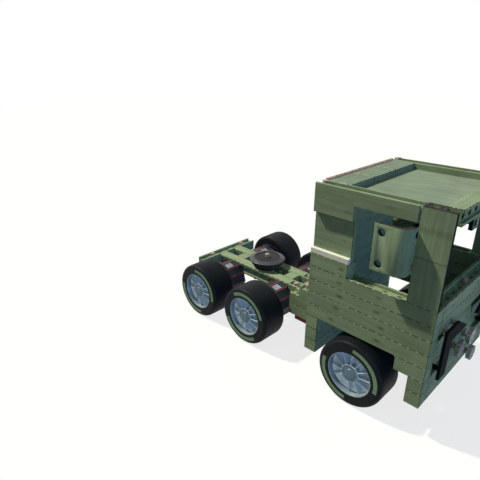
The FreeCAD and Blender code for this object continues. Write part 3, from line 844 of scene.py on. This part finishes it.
@dataclass
class Cab:
    """Walls, rear, roof and front of the cab, in lattice units but for the two plate thicknesses."""

    grid: Lattice
    length: float = 9.0
    width: float = 11.0
    depth: Pair = (8.0, 9.0)
    inner: Pair = (1.0, 10.0)
    short_rows: float = 3.0
    pillar_at: float = 7.0
    sill: float = 7.0
    roof: float = 13.0
    plate: float = 0.26
    pillar_gap: float = 0.12
    channel_gap: float = 0.1
    channel_wall: float = 0.23
    ledge_depth: float = 0.41
    ledge_height: float = 0.28
    set_back: float = 0.25
    panel: float = 0.066
    strip: float = 0.06

    def build(self) -> None:
        """Build every piece of the cab."""
        for side in Side:
            self.wall(side)
        self.rear_wall()
        self.roof_pieces()
        self.front()
        self.pillars()
        self.panels("side_panels", self.panel, RAIL_WOOD, EDGE_ALONG)
        self.panels("side_strips", self.strip, PALE_STRIP, PALE_STRIP)

    def wall(self, side: Side) -> None:
        """Rows from the skirt to the sill, and the top rail.

        Args:
            side: Right or left.
        """
        wall, full, short = (0.0, 1.0), (0.0, self.length), (0.0, self.short_rows)
        rows = [Row(full, wall, z) for z in (3, 4, 5)]
        rows.append(Row(full, wall, 6, face=Axis.Z, holes=(self.short_rows, self.pillar_at)))
        rows.append(Row(short, wall, 7))
        rows.append(Row((self.length - 2, self.length), wall, 2))
        rows += [Row((self.length - 1, self.length), wall, z) for z in (0, 1)]
        self.grid.lay(f"cab_side_{side.word}", rows, [side])
        top = (0.0, self.pillar_at)
        rows = [Row(top, wall, 12, face=Axis.Z, holes=top), Row(short, wall, 11)]
        rail = coat(unite(self.grid.beams(rows, [side])), RAIL_WOOD, EDGE_RAIL)
        hand_in(f"cab_top_rail_{side.word}", [rail])

    def rear_wall(self) -> None:
        """Cross beams with a rebate for the pegs in the top one."""
        grid = self.grid
        rows = [Row((0, 1), (4, 7), 2, Axis.Y)] + [Row((0, 1), self.inner, z, Axis.Y) for z in range(3, 12)]
        parts = grid.beams(rows)
        for part in parts:
            # The inner faces' eased edges keep the plain paint, without the painted seam shade and highlights
            paint_faces(part, 0, lambda centre, normal: normal.x > SLIGHTLY)
        for start in (1, 4, 7):
            top = coat(add_block(grid.point(0, start, 12), grid.point(2, start + 3, 13)),
                       STRIP_WOOD, EDGE_STRIP)
            cut_out(top, [add_block(grid.point(-1, 0, self.roof - self.ledge_height),
                                    grid.point(self.ledge_depth, self.width, 14))])
            parts.append(ease_edges(top, Beam.edge, slot=1))
        hand_in("cab_rear_wall", parts)

    def roof_pieces(self) -> None:
        """Let-in roof panel and the pierced beam over the windscreen."""
        panel = coat(add_block(*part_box("roof_panel")), PANEL_WOOD, EDGE_ACROSS)
        hand_in("roof_panel", [ease_edges(panel, THIN_EASE, 1, 1)])
        row = Row(self.depth, self.inner, 12, Axis.Y, Axis.X, 1, self.inner, True)
        self.grid.lay("roof_front_beam", [row])

    def front(self) -> None:
        """Cowl, fascia, corner stacks, and the mudflaps behind the front wheels."""
        lay, set_back = self.grid.lay, (8.0, self.length - self.set_back)
        lay("cowl_beam", [Row(self.depth, self.inner, 6, Axis.Y, Axis.Z, 1, self.inner)])
        lay("front_fascia", [Row(self.depth, self.inner, 5, Axis.Y)])
        stacks = enumerate((self.depth, self.depth, set_back, set_back))
        lay("front_corners", [Row(depth, (1, 3), z, Axis.Y) for z, depth in stacks], Side)
        lay("mudflaps", [Row((0, 1), (0, 4), z, Axis.Y) for z in range(3)], Side)

    def pillars(self) -> None:
        """Thick plates with dark cut edges, tied to the roof by an open channel."""
        grid, parts, middle = self.grid, [], (self.sill + self.roof) / 2
        x0, x1 = grid.x(self.pillar_at + self.pillar_gap), grid.x(self.length)
        for side in Side:
            y0, y1 = side.pair(-grid.y(0), -grid.y(self.plate))
            for z0, z1 in ((self.sill, middle), (middle, self.roof)):
                plate = coat(add_block((x0, y0, grid.z(z0)), (x1, y1, grid.z(z1))), WOOD_UPRIGHT, PLATE_EDGE)
                paint_faces(plate, 1, lambda centre, normal: abs(normal.y) < MAINLY)
                parts.append(ease_edges(plate, THIN_EASE, slot=1))
            parts.append(self.channel(side))
        hand_in("pillars", parts)

    def channel(self, side: Side) -> Obj:
        """Channel of thin plate between the pillar's head and the roof panel.

        Args:
            side: Right or left.

        Returns:
            The channel.
        """
        grid, wall = self.grid, self.channel_wall * PITCH
        x0, x1 = (grid.x(self.pillar_at + units + self.channel_gap) for units in (0, 1))
        y0, y1 = side.pair(-grid.y(self.plate), -grid.y(1))
        z0, z1 = grid.z(12), grid.z(13)
        channel = coat(add_block((x0, y0, z0), (x1, y1, z1)), WOOD_UPRIGHT, PLATE_EDGE)
        room_y = [y + side.value * wall for y in (y0, y1)]
        cut_out(channel, [add_block((x0 + wall, room_y[0], z0 - wall), (x1 - wall, room_y[1], z1 + wall))])
        paint_faces(channel, 1, lambda centre, normal: abs(normal.z) > MAINLY)
        return ease_edges(channel, 0.002, 1, 1)

    def panels(self, node: str, thick: float, face: object, edge: object) -> None:
        """Plates at both ends of a node's box.

        Args:
            node: CAD node.
            thick: Thickness of the plates.
            face: Finish of their faces.
            edge: Finish of their edges.
        """
        low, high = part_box(node)
        parts = []
        for y0, y1 in ((low[1], low[1] + thick), (high[1] - thick, high[1])):
            part = coat(add_block((low[0], y0, low[2]), (high[0], y1, high[2])), face, edge)
            parts.append(ease_edges(part, PLAIN_EASE, slot=1))
        hand_in(node, parts)


@dataclass
class Mirrors:
    """Bent angle plates beside the windows, with dark cut edges."""

    thickness: float = 0.062
    bend: float = 0.14
    leg_length: float = 0.18
    hole_radius: float = 0.047
    hole_step: float = 0.1
    slack: float = 0.01
    edge: float = 0.0025

    def build(self) -> None:
        """Model the two brackets."""
        hand_in("mirrors", [self.bracket(side, *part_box("mirrors")) for side in Side])

    def bracket(self, side: Side, low: Floats, high: Floats) -> Obj:
        """Bend a sheet round a corner, thicken it and pierce it.

        Args:
            side: Right or left.
            low: Lowest corner of both brackets.
            high: Highest corner of both brackets.

        Returns:
            The bracket.
        """
        outer = side.value * high[1]
        y0, y1 = side.pair(high[1], high[1] - (self.bend + self.leg_length))
        obj = add_block((low[0], y0, low[2]), (high[0], y1, high[2]))

        def spare(centre: Vector, normal: Vector) -> bool:
            """Tell whether a face isn't part of the bent sheet."""
            away = min(normal.x, normal.y * side.value) < -MAINLY
            return abs(normal.z) > MAINLY or away

        def cut_edge(centre: Vector, normal: Vector) -> bool:
            """Tell whether a face is part of a cut edge or of a hole's wall."""
            past = self.bend + 10 * NEAR
            on_face = abs(normal.y) < MAINLY and high[0] - centre.x > past
            on_leg = abs(normal.x) < MAINLY and (outer - centre.y) * side.value > past
            return abs(normal.z) > MAINLY or on_face or on_leg

        pick_faces(obj, spare)
        bpy.ops.mesh.delete(type="FACE")
        pick_edges(obj, lambda co: abs(co.x - high[0]) < NEAR and abs(co.y - outer) < NEAR)
        bpy.ops.mesh.bevel(offset=self.bend, segments=12, affect="EDGES")
        align_normals(obj)
        outwards = sum(face.normal.y * side.value for face in obj.data.polygons) > 0
        modify(obj, "SOLIDIFY", thickness=self.thickness, offset=-1 if outwards else 1, use_even_offset=True)
        align_normals(obj)
        cut_out(coat(obj, WOOD_UPRIGHT, PLATE_EDGE), self.holes(side, low, high, outer))
        # Cut edges and hole walls take the dark plate-edge colour, which inside the holes also stands for
        # their shade
        paint_faces(obj, 1, cut_edge)
        smooth(ease_edges(obj, self.edge))
        return obj

    def holes(self, side: Side, low: Floats, high: Floats, outer: float) -> list[Obj]:
        """Cutters through the face and through the leg.

        Args:
            side: Right or left.
            low: Lowest corner of both brackets.
            high: Highest corner of both brackets.
            outer: Y of the face.

        Returns:
            Four rods.
        """
        deep = self.thickness + 2 * self.slack
        face_y = side.pair(high[1] + self.slack, high[1] - (self.thickness + self.slack))[0]
        leg_x = high[0] - self.thickness - self.slack
        leg_y = outer - side.value * (self.bend + self.leg_length / 2)
        rods = []
        for z in (low[2] + self.hole_step, high[2] - self.hole_step):
            rods.append(add_rod(self.hole_radius, (low[0] + self.hole_step, face_y, z), deep, Axis.Y))
            rods.append(add_rod(self.hole_radius, (leg_x, leg_y, z), deep, Axis.X))
        return rods


@dataclass
class Front:
    """Black guard plates on pegs and toothed lamp discs."""

    grid: Lattice
    face_at: float = 9.0
    pegs_from: float = 8.5
    plate: float = 0.04
    arm: float = 0.2
    arm_reach: float = 0.71
    taper: float = 0.33
    spacer: float = 0.034
    stub_foot: float = 0.05
    lamp_radius: float = 0.128
    small_radius: float = 0.105
    lamp_spread: float = 0.2
    lamp_step: float = 0.09
    small_drop: float = 0.12
    tooth: float = 0.016
    lamp_sides: int = 24
    lamp_thickness: float = 0.06
    dish_share: float = 0.35
    dish_depth: float = 0.012
    peg_radius: float = 0.04

    def build(self) -> None:
        """Build both guards and the three lamps."""
        low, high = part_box("front_guards")
        parts = [part for side in Side for part in self.guard(side, low, high)]
        hand_in("front_guards", parts)
        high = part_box("lamp_gears")[1]
        upper = high[2] - self.lamp_radius
        parts = []
        for side in Side:
            place = (high[0] - self.lamp_step, side.value * self.lamp_spread, upper)
            parts += self.lamp(place, self.lamp_radius)
        parts += self.lamp((high[0], 0.0, upper - self.small_drop), self.small_radius)
        hand_in("lamp_gears", parts)

    def guard(self, side: Side, low: Floats, high: Floats) -> list[Obj]:
        """L-shaped plate with two wooden spacers at its head and a black one at its foot.

        Args:
            side: Right or left.
            low: Lowest corner of both guards.
            high: Highest corner of both guards.

        Returns:
            The plate and its spacers.
        """
        front, outer = self.grid.x(self.face_at), high[1]
        x0, x1 = high[0] - self.plate, high[0]
        y0, y1 = side.pair(outer, outer - self.arm_reach)
        plate = coat(add_block((x0, y0, low[2]), (x1, y1, high[2])), BLACK_METAL)
        y0, y1 = side.pair(outer - self.arm, outer - (self.arm_reach + self.plate))
        cut_out(plate, [add_block((x0 - self.plate, y0, low[2] - self.plate),
                                  (x1 + self.plate, y1, high[2] - self.arm))])
        end = side.value * (outer - self.arm_reach)
        pick(plate, Element.VERT,
             lambda vert: abs(vert.co.y - end) < NEAR and abs(vert.co.z - high[2]) < NEAR)
        bpy.ops.transform.translate(value=(0, side.value * self.taper, 0))
        parts = [ease_edges(plate, PLAIN_EASE)]
        for start, near, z, finish in (
                (front - self.stub_foot, self.arm / 2, low[2] + self.arm / 2, BLACK_METAL),
                (front, self.arm / 2, high[2] - self.spacer, PEG),
                (front, self.arm_reach / 2, high[2] - self.spacer, PEG)):
            place = (start, side.value * (outer - near), z)
            parts.append(coat(add_rod(self.spacer, place, x0 - start, Axis.X, PEG_SIDES), finish))
        return parts

    def lamp(self, place: Point, radius: float) -> list[Obj]:
        """Toothed disc with a dished face, on its peg.

        Args:
            place: Centre of its front face.
            radius: Radius over the teeth.

        Returns:
            The disc and the peg.
        """
        root = radius - self.tooth
        back, start = place[0] - self.lamp_thickness, self.grid.x(self.pegs_from)
        disc = add_rod(root, (back, *place[1:]), self.lamp_thickness, Axis.X, self.lamp_sides)

        def is_tooth(centre: Vector, normal: Vector) -> bool:
            """Tell whether a side face carries a tooth."""
            turn = math.atan2(centre.z - place[2], centre.y - place[1]) % math.tau
            return abs(normal.x) < MAINLY and round(turn / math.tau * self.lamp_sides - 0.5) % 2 == 0

        pick_faces(disc, is_tooth)
        bpy.ops.mesh.extrude_faces_move(TRANSFORM_OT_shrink_fatten={"value": self.tooth})
        pick_faces(disc, lambda centre, normal: normal.x > SQUARE and abs(centre.z - place[2]) < NEAR)
        step_in([(root * self.dish_share, -self.dish_depth)], Axis.X.vector)
        peg = add_rod(self.peg_radius, (start, *place[1:]), back - start, Axis.X, PEG_SIDES)
        return [coat(ease_edges(disc, THIN_EASE), LAMP_METAL), coat(peg, PEG)]


@dataclass
class Chassis:
    """Pierced rails, cross beams, side blocks and the pegs in them."""

    grid: Lattice
    peg_radius: float = 0.04
    peg_proud: float = 0.024
    peg_foot: float = 0.07
    spare_peg_at: Point = (8.5, 5.5, 3.3)
    spare_peg_length: float = 0.17
    roof_peg_gap: float = 0.022

    def build(self) -> None:
        """Build every wooden piece of the frame."""
        grid = self.grid
        start, end = (grid.units_x(corner[0]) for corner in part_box("frame_rails"))
        rows = [Row((start, -5), (4, 5), 1, face=Axis.Y, outward=-1, holes=(start, -5), through=True),
                Row((-5, end), (4, 5), 1, face=Axis.Z, holes=(-5, -3))]
        grid.lay("frame_rails", rows, Side)
        rows = [Row((-4, 0), (3, 4), 0), Row((-4, 0), (3, 4), 1, face=Axis.Z, holes=(-4, -3))]
        grid.lay("side_blocks", rows, Side)
        rows = [Row((x, x + 1), (3, 8), 2, Axis.Y, Axis.Z, 1, (3, 8)) for x in (-3, -1)]
        grid.lay("deck_beams", rows)
        low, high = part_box("rear_crossbeam")
        margin, rear = grid.columns / 2 - high[1] / PITCH, grid.units_x(low[0])
        ends = (margin, grid.columns - margin)
        grid.lay("rear_crossbeam", [Row((rear, rear + 1), ends, 1, Axis.Y, Axis.Z, 1, ends)])
        self.ties()
        self.pegs(rear)

    def ties(self) -> None:
        """Short cross pieces between the rails, at each axle and between the last two."""
        boxes = [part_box(f"tyre_{axle}_right") for axle in AXLES]
        places = [(low[0] + high[0]) / 2 for low, high in boxes]
        places.append((places[1] + places[2]) / 2)
        middles = [self.grid.units_x(place) for place in places]
        self.grid.lay("rail_ties", [Row((x - 0.5, x + 0.5), (5, 6), 1, Axis.Y) for x in middles])

    def pegs(self, rear: float) -> None:
        """Upright pegs in the grooved tops, the spare one over the lamps and the row at the roof's rear.

        Args:
            rear: Lattice X of the rear cross beam's rear face.
        """
        grid, length = self.grid, self.peg_foot + self.peg_proud
        places = [(8.5, 5.5, 7), (-4.5, 4.5, 2), (-4.5, 6.5, 2)]
        for y in (3.5, 7.5):
            places += [(-2.5, y, 3), (rear + 0.5, y, 2)]
        places += [(0.5, 0.5, 13), (0.5, 10.5, 13)]
        parts = []
        for x, y, z in places:
            start = (grid.x(x), grid.y(y), grid.z(z) - self.peg_foot)
            parts.append(add_rod(self.peg_radius, start, length, Axis.Z))
        spare = grid.point(*self.spare_peg_at)
        parts.append(add_rod(self.peg_radius, spare, self.spare_peg_length, Axis.X))
        self.turned("beam_pegs", parts, THIN_EASE)
        low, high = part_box("roof_pegs")
        x, z = (low[0] + high[0]) / 2, (low[2] + high[2]) / 2
        parts = [add_rod((high[2] - low[2]) / 2, (x, grid.y(index) + self.roof_peg_gap, z),
                         PITCH - 2 * self.roof_peg_gap, Axis.Y) for index in range(1, 10)]
        self.turned("roof_pegs", parts, PLAIN_EASE)

    def turned(self, node: str, parts: Sequence[Obj], ease: float) -> None:
        """Finish pegs as bare turned wood.

        Args:
            node: CAD node that they stand for.
            parts: The pegs.
            ease: Width of their eased edges.
        """
        pegs = ease_edges(coat(unite(parts), PEG), ease)
        smooth(pegs)
        hand_in(node, [pegs])


@dataclass
class HubMotor:
    """Faceted drum with a red rib on each corner, a finned patch and a stub axle."""

    facets: int = 12
    radius: float = 0.32
    inner: float = 0.3
    outer: float = 0.72
    face_steps: tuple[Pair, ...] = ((0.03, 0.0), (0.012, -0.014), (0.1, 0.0), (0.01, 0.012))
    rib_root: float = 0.3
    rib_width: float = 0.026
    rib_ease: float = 0.006
    stub_radius: float = 0.036
    stub_foot: float = 0.02
    fin_count: int = 6
    fin_span: Pair = (0.44, 0.58)
    fin_pitch: float = 0.025
    fin_width: float = 0.011
    fin_half_length: float = 0.055
    fin_foot: float = 0.01
    fin_height: float = 0.015
    fin_turn: float = 15.0

    def build(self) -> None:
        """Build both pairs of motors."""
        for node in ("hub_motors_mid", "hub_motors_rear"):
            low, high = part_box(node)
            hand_in(node, [part for side in Side for part in self.motor(low, high, side)])

    def motor(self, low: Floats, high: Floats, side: Side) -> list[Obj]:
        """Build one motor.

        Args:
            low: Lowest corner of the pair.
            high: Highest corner of the pair.
            side: Right or left.

        Returns:
            Its drum, ribs, stub and fins.
        """
        x, z = (low[0] + high[0]) / 2, (low[2] + high[2]) / 2
        place = Matrix.Translation((x, 0.0, z))
        y0, y1 = side.pair(self.inner, self.outer)
        drum = coat(add_rod(self.radius, (x, y0, z), y1 - y0, Axis.Y, self.facets), MOTOR_SHELL)
        pick_faces(drum, facing(Axis.Y, side.value))
        step_in(self.face_steps, Axis.Y.vector * side.value)
        parts = [ease_edges(drum, PLAIN_EASE)]
        half, tip = self.rib_width / 2, (high[2] - low[2]) / 2
        rib = add_block((self.rib_root, y0, -half), (tip, y1, half))
        coat(ease_edges(rib, self.rib_ease), MOTOR_RIB)
        parts += [copy_moved(rib, place @ Matrix.Rotation(turn, 4, "Y")) for turn in turns(self.facets)]
        bpy.data.objects.remove(rib)
        y0, y1 = side.pair(self.outer - self.stub_foot, high[1])
        parts.append(coat(add_rod(self.stub_radius, (x, y0, z), y1 - y0, Axis.Y), AXLE_STEEL))
        patch = self.fins(side)
        patch.data.transform(place @ Matrix.Rotation(math.radians(self.fin_turn), 4, "Y"))
        return [*parts, patch]

    def fins(self, side: Side) -> Obj:
        """Cast patch of cooling fins, before it is turned to a facet and moved to the axle.

        Args:
            side: Right or left.

        Returns:
            The patch.
        """
        apothem = self.radius * math.cos(math.pi / self.facets)
        fins = []
        for index in range(self.fin_count):
            y = side.pair(*self.fin_span)[0] + index * self.fin_pitch
            fins.append(add_block((-self.fin_half_length, y, apothem - self.fin_foot),
                                  (self.fin_half_length, y + self.fin_width, apothem + self.fin_height)))
        return coat(unite(fins), FIN_METAL)


@dataclass
class Coupling:
    """Turning disc whose bevelled edge is painted lighter as a glint, with a wooden centre peg, on its base.
    """

    edge: float = 0.014
    pin_radius: float = 0.04
    pin_height: float = 0.07
    pivot_play: float = 0.003
    face_steps: tuple[Pair, ...] = ((0.05, 0.0), (0.006, -0.004), (0.09, 0.0), (0.006, 0.004))
    base_height: float = 0.06
    pivot_height: float = 0.056
    facets: int = 96

    def build(self) -> None:
        """Build the disc and its pin, and the base and its pivot."""
        low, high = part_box("turntable")
        base_low, base_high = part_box("turntable_base")
        x, radius, top = (low[0] + high[0]) / 2, (high[0] - low[0]) / 2, high[2] - self.pin_height
        disc = add_rod(radius, (x, 0, low[2]), top - low[2], Axis.Z, self.facets)
        # The bevel takes the lighter edge finish, a painted glint
        ease_edges(coat(disc, DISC_STEEL, DISC_EDGE), self.edge, 3, 1)
        pick_faces(disc, facing(Axis.Z, -1))
        bore = radius - self.edge - self.pin_radius - self.pivot_play
        step_in([(bore, (top - low[2]) / 2)], Axis.Z.vector)
        pick_faces(disc, facing(Axis.Z, 1))
        step_in(self.face_steps, Axis.Z.vector)
        pin = coat(add_rod(self.pin_radius, (x, 0, top), high[2] - top, Axis.Z), PEG)
        ease_edges(pin, PLAIN_EASE)
        radius = (base_high[0] - base_low[0]) / 2
        base = add_rod(radius, (x, 0, base_low[2]), self.base_height, Axis.Z, self.facets)
        ease_edges(base, PLAIN_EASE)
        pivot = add_rod(self.pin_radius, (x, 0, base_low[2] + self.base_height), self.pivot_height, Axis.Z)
        for part in (disc, pin, coat(base, BLACK_METAL), coat(pivot, BLACK_METAL)):
            smooth(part)
        hand_in("turntable", [disc, pin], "turntable")
        hand_in("turntable_base", [base, pivot])


# Wheels


@dataclass
class Wheel:
    """A slick tyre with painted arcs on its sidewall, on a deep ribbed rim.

    Both are modelled about the Y axis, with the outer side towards -Y.
    """

    radius: float
    width: float
    bore: float
    shoulder: float = 0.06
    shoulder_share: float = 0.98
    shoulder_steps: int = 7
    shoulder_profile: float = 0.55
    band: Pair = (0.38, 0.436)
    bead: float = 0.012
    facets: int = 96
    rib_count: int = 12
    rib_width: float = 0.009
    rib_depth: float = 0.09
    rib_lean: float = 0.03
    rib_ease: float = 0.002
    lug_count: int = 6
    lug_circle: float = 0.098
    lug_radius: float = 0.011
    lug_depth: float = 0.015
    lug_overrun: float = 0.005
    hub_radius: float = 0.138
    hub_inset: float = 0.036
    hub_paint: float = 0.128
    back_paint: float = 0.3
    wall: float = 0.02
    lip_inset: float = 0.008

    def tyre(self, arcs: Sequence[Pair]) -> Obj:
        """Model a tyre.

        Args:
            arcs: Start and end angles in degrees of the painted arcs, from +X towards +Z.

        Returns:
            The tyre at the origin.
        """
        side = self.width / 2
        obj = coat(add_rod(self.radius, (0, -side, 0), self.width, Axis.Y, self.facets), RUBBER, BAND)
        pick_faces(obj, lambda centre, normal: abs(normal.y) > SQUARE)
        tread = (self.radius, self.radius - self.shoulder)
        rings = (*tread, *reversed(self.band), self.bore + self.bead, self.bore)
        step_in([(wide - narrow, 0.0) for wide, narrow in zip(rings, rings[1:])], Axis.Y.vector)
        bpy.ops.mesh.delete(type="FACE")
        pick(obj, Element.EDGE, lambda edge: edge.is_boundary)
        bpy.ops.mesh.bridge_edge_loops()
        align_normals(obj)
        pick_edges(obj, lambda co: abs(reach(co) - self.radius) < NEAR and abs(abs(co.y) - side) < NEAR)
        bpy.ops.mesh.bevel(offset=self.shoulder * self.shoulder_share, segments=self.shoulder_steps,
                           profile=self.shoulder_profile, affect="EDGES")
        release()

        def in_band(centre: Vector, normal: Vector) -> bool:
            """Tell whether a sidewall face is part of an arc."""
            turn = math.degrees(math.atan2(centre.z, centre.x))
            inside = any((turn - start) % 360 < end - start for start, end in arcs)
            return inside and normal.y < -SQUARE and self.band[0] < reach(centre) < self.band[1]

        paint_faces(obj, 1, in_band)
        smooth(obj, 40)
        return obj

    def rim(self) -> Obj:
        """Model a rim with a dished outer side, a flat hub disc and an open back.

        Returns:
            The rim at the origin.
        """
        edge, face = self.width / 2 - self.lip_inset, self.width / 2 - self.hub_inset
        hub, floor, disc = edge - face, self.bore - self.wall, self.hub_radius
        obj = add_rod(self.bore, (0, -edge, 0), edge + edge, Axis.Y, self.facets)
        # Lip, barrel, floor of the dish and the step up to the hub disc
        self.dish(obj, -1, edge, (
            (self.bore - 0.006, 0.0), (self.bore - 0.014, 0.006), (floor, 0.03), (floor - 0.004, 0.085),
            (0.27, 0.112), (0.225, 0.125), (0.18, 0.128), (disc + 0.012, 0.12), (disc, 0.1)))
        # Hub disc with its raised middle
        self.dish(obj, -1, edge, (
            (disc - 0.002, hub + 0.004), (disc - 0.008, hub), (0.126, hub + 0.003), (0.07, hub + 0.003),
            (0.066, hub - 0.004), (0.03, hub - 0.008)))
        # Open back, with a boss where the stub axle meets it
        self.dish(obj, 1, edge, (
            (floor, 0.0), (floor - 0.004, 0.25), (0.11, 0.31), (0.045, 0.31), (0.04, 0.26)))
        release()
        coat(obj, RIM_METAL, HUB_BLUE, RIM_DISH_LIT, RIM_HUB)
        # The dish floor takes the lighter metal as painted light against the pockets' shade; the hub disc
        # takes a darker one
        for slot, within in ((2, floor - 0.002), (3, self.hub_paint)):
            paint_faces(obj, slot, lambda centre, normal: normal.y < -SLIGHTLY and reach(centre) < within)
        paint_faces(obj, 1, lambda centre, normal: normal.y > SQUARE and reach(centre) < self.back_paint)
        circle, lugs = self.lug_circle, []
        for turn in turns(self.lug_count):
            start = (circle * math.cos(turn), -face - self.lug_overrun, circle * math.sin(turn))
            lugs.append(add_rod(self.lug_radius, start, self.lug_overrun + self.lug_depth, Axis.Y, 16))
        cut_out(obj, lugs)
        smooth(obj, 35)
        return unite([obj, *self.ribs(face)])

    def dish(self, obj: Obj, sign: int, edge: float, rings: Iterable[Pair]) -> None:
        """Turn an end cap, or what is left of it, into a dish, ring by ring.

        Args:
            obj: The rim.
            sign: -1 for the outer cap and 1 for the inner one.
            edge: Distance of the whole cap from the middle plane.
            rings: Radius and depth below the whole cap of each ring, from outside in.
        """
        pick_faces(obj, lambda centre, normal: normal.y * sign > SQUARE and reach(centre) < NEAR)
        cap = next(face for face in bmesh.from_edit_mesh(obj.data).faces if face.select)
        here = max(reach(vert.co) for vert in cap.verts)
        level = edge - abs(cap.calc_center_median().y)
        for radius, depth in rings:
            step_in([(here - radius, level - depth)], Axis.Y.vector * sign)
            here, level = radius, depth

    def ribs(self, face: float) -> list[Obj]:
        """Thin radial ribs from the hub disc to the barrel.

        Args:
            face: Distance of the hub disc's face from the middle plane.

        Returns:
            The ribs.
        """
        start, end = self.hub_radius - 0.006, self.bore - self.wall + 0.004
        rib = add_block((start, -face, -self.rib_width / 2), (end, self.rib_depth - face, self.rib_width / 2))
        pick_faces(coat(rib, RIM_DISH_LIT), facing(Axis.X, 1))
        bpy.ops.transform.translate(value=(0, self.rib_lean, 0))
        ease_edges(rib, self.rib_ease)
        return [rib] + [copy_moved(rib, Matrix.Rotation(turn, 4, "Y")) for turn in turns(self.rib_count)[1:]]


@dataclass
class RunningGear:
    """The six wheels, each on its own body, with the painted arcs of each axle's tyres."""

    arcs: tuple[tuple[Pair, ...], ...] = (
        ((-12, 86), (165, 268)), ((14, 124), (201, 308)), ((-6, 98), (175, 280)))

    def build(self) -> None:
        """Build and place every wheel."""
        low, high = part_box("tyre_front_right")
        rim_low, rim_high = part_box("rim_front_right")
        wheel = Wheel((high[2] - low[2]) / 2, high[1] - low[1], (rim_high[2] - rim_low[2]) / 2)
        rim = wheel.rim()
        for axle, arcs in zip(AXLES, self.arcs):
            tyre = wheel.tyre(arcs)
            for side in Side:
                end = f"{axle}_{side.word}"
                low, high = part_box("tyre_" + end)
                turn = Matrix.Rotation(math.pi if side is Side.LEFT else 0.0, 4, "Z")
                place = Matrix.Translation((Vector(low) + Vector(high)) / 2) @ turn
                for master, node, slot in ((tyre, "tyre_" + end, "tyre"), (rim, "rim_" + end, "rim_metal")):
                    hand_in(node, [copy_moved(master, place)], "wheel_" + end)
            bpy.data.objects.remove(tyre)
        bpy.data.objects.remove(rim)


@dataclass
class CarriedNodes:
    """CAD nodes that keep their solids and get a finish."""

    finishes: dict[str, object] = field(default_factory=lambda: {
        "underfloor_plates": RED_PLATE, "front_apron": WOOD_ACROSS, "front_axle": AXLE_STEEL,
        "knuckle_right": AXLE_STEEL, "knuckle_left": AXLE_STEEL})

    def build(self) -> None:
        """Give each node its material."""
        for name, finish in self.finishes.items():
            coat(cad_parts[name], finish)
            LOG.info("%s: %s", name, finish.name)


@dataclass
class Studio:
    """Pale floor, soft lights and the camera."""

    camera_place: Point = (3.711, -5.641, 4.5)
    camera_aim: Point = (-0.6573, 0.6470, -0.3865)
    lens: float = 32.3
    sensor: float = 36.0
    far: float = 200.0
    floor_size: float = 90.0
    floor_dark: Colour = (0.12, 0.12, 0.12)
    floor_pale: Colour = (0.98, 0.98, 0.98)
    floor_white: float = 0.78
    sky: Colour = (0.52, 0.85, 1.0)
    sky_strength: float = 0.175
    key_aim: Point = (0.605, 0.19, -0.773)
    fill_aim: Point = (-1.0, 0.0, 0.0)
    sun_angle: float = 2.5
    lamp_place: Point = (8.5, -3.0, 1.4)
    lamp_target: Point = (0.0, 0.0, 1.3)

    def build(self) -> None:
        """Set up everything round the object."""
        self.floor()
        graph = Graph(bpy.data.worlds.new("studio"))
        graph.set("Color", self.sky)
        graph.set("Strength", self.sky_strength)
        graph.whiten("Background", graph.seen())
        bpy.context.scene.world = graph.owner
        angle, lights = math.radians(self.sun_angle), bpy.data.lights
        settings = {"energy": 3.8, "color": (1.0, 0.96, 0.8), "angle": angle}
        self.stand(lights.new("key", "SUN"), self.key_aim, settings)
        settings = {"energy": 0.66, "color": (0.28, 0.51, 1.0), "angle": angle, "use_shadow": False}
        self.stand(lights.new("fill", "SUN"), self.fill_aim, settings)
        aim = Vector(self.lamp_target) - Vector(self.lamp_place)
        settings = {"energy": 30.0, "color": (0.2, 0.45, 1.0), "size": 6.0}
        self.stand(lights.new("front", "AREA"), aim, settings, self.lamp_place)
        settings = {"lens": self.lens, "sensor_width": self.sensor, "clip_end": self.far}
        camera = self.stand(bpy.data.cameras.new("camera"), self.camera_aim, settings, self.camera_place)
        bpy.context.scene.camera = camera
        bpy.context.scene.view_settings.view_transform = "Standard"

    def floor(self) -> None:
        """Pale ground plane that keeps the shadow and throws little light back."""
        release()
        bpy.ops.mesh.primitive_plane_add(size=self.floor_size)
        obj = bpy.context.object
        obj.name = "studio_floor"
        graph = Graph(bpy.data.materials.new("pale_floor"))
        seen = graph.seen()
        graph.set("Base Color", graph.blend(seen, self.floor_dark, self.floor_pale))
        graph.set("Roughness", 0.9)
        graph.set("Specular IOR Level", 0.0)
        graph.whiten("Emission", graph.calc("MULTIPLY", seen, self.floor_white))
        obj.data.materials.append(graph.owner)

    def stand(self, data: bpy.types.ID, aim: Floats, settings: dict[str, object],
              place: Point = (0.0, 0.0, 0.0)) -> Obj:
        """Put a light or a camera in the scene.

        Args:
            data: The light or camera.
            aim: Direction in which it looks.
            settings: Its properties.
            place: Where it stands.

        Returns:
            Its object.
        """
        obj = bpy.data.objects.new(data.name, tune(data, settings))
        obj.location = place
        obj.rotation_euler = Vector(aim).to_track_quat("-Z", "Y").to_euler()
        bpy.context.scene.collection.objects.link(obj)
        return obj


def main() -> None:
    """Build every sub-assembly in order."""
    logging.basicConfig(level=logging.INFO, format="%(name)s %(message)s")
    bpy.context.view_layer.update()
    grid = Lattice()
    CarriedNodes().build()
    for assembly in (Cab(grid), Mirrors(), Front(grid), Chassis(grid), HubMotor(), Coupling(), RunningGear()):
        assembly.build()
    Studio().build()


if __name__ == "__main__":
    main()
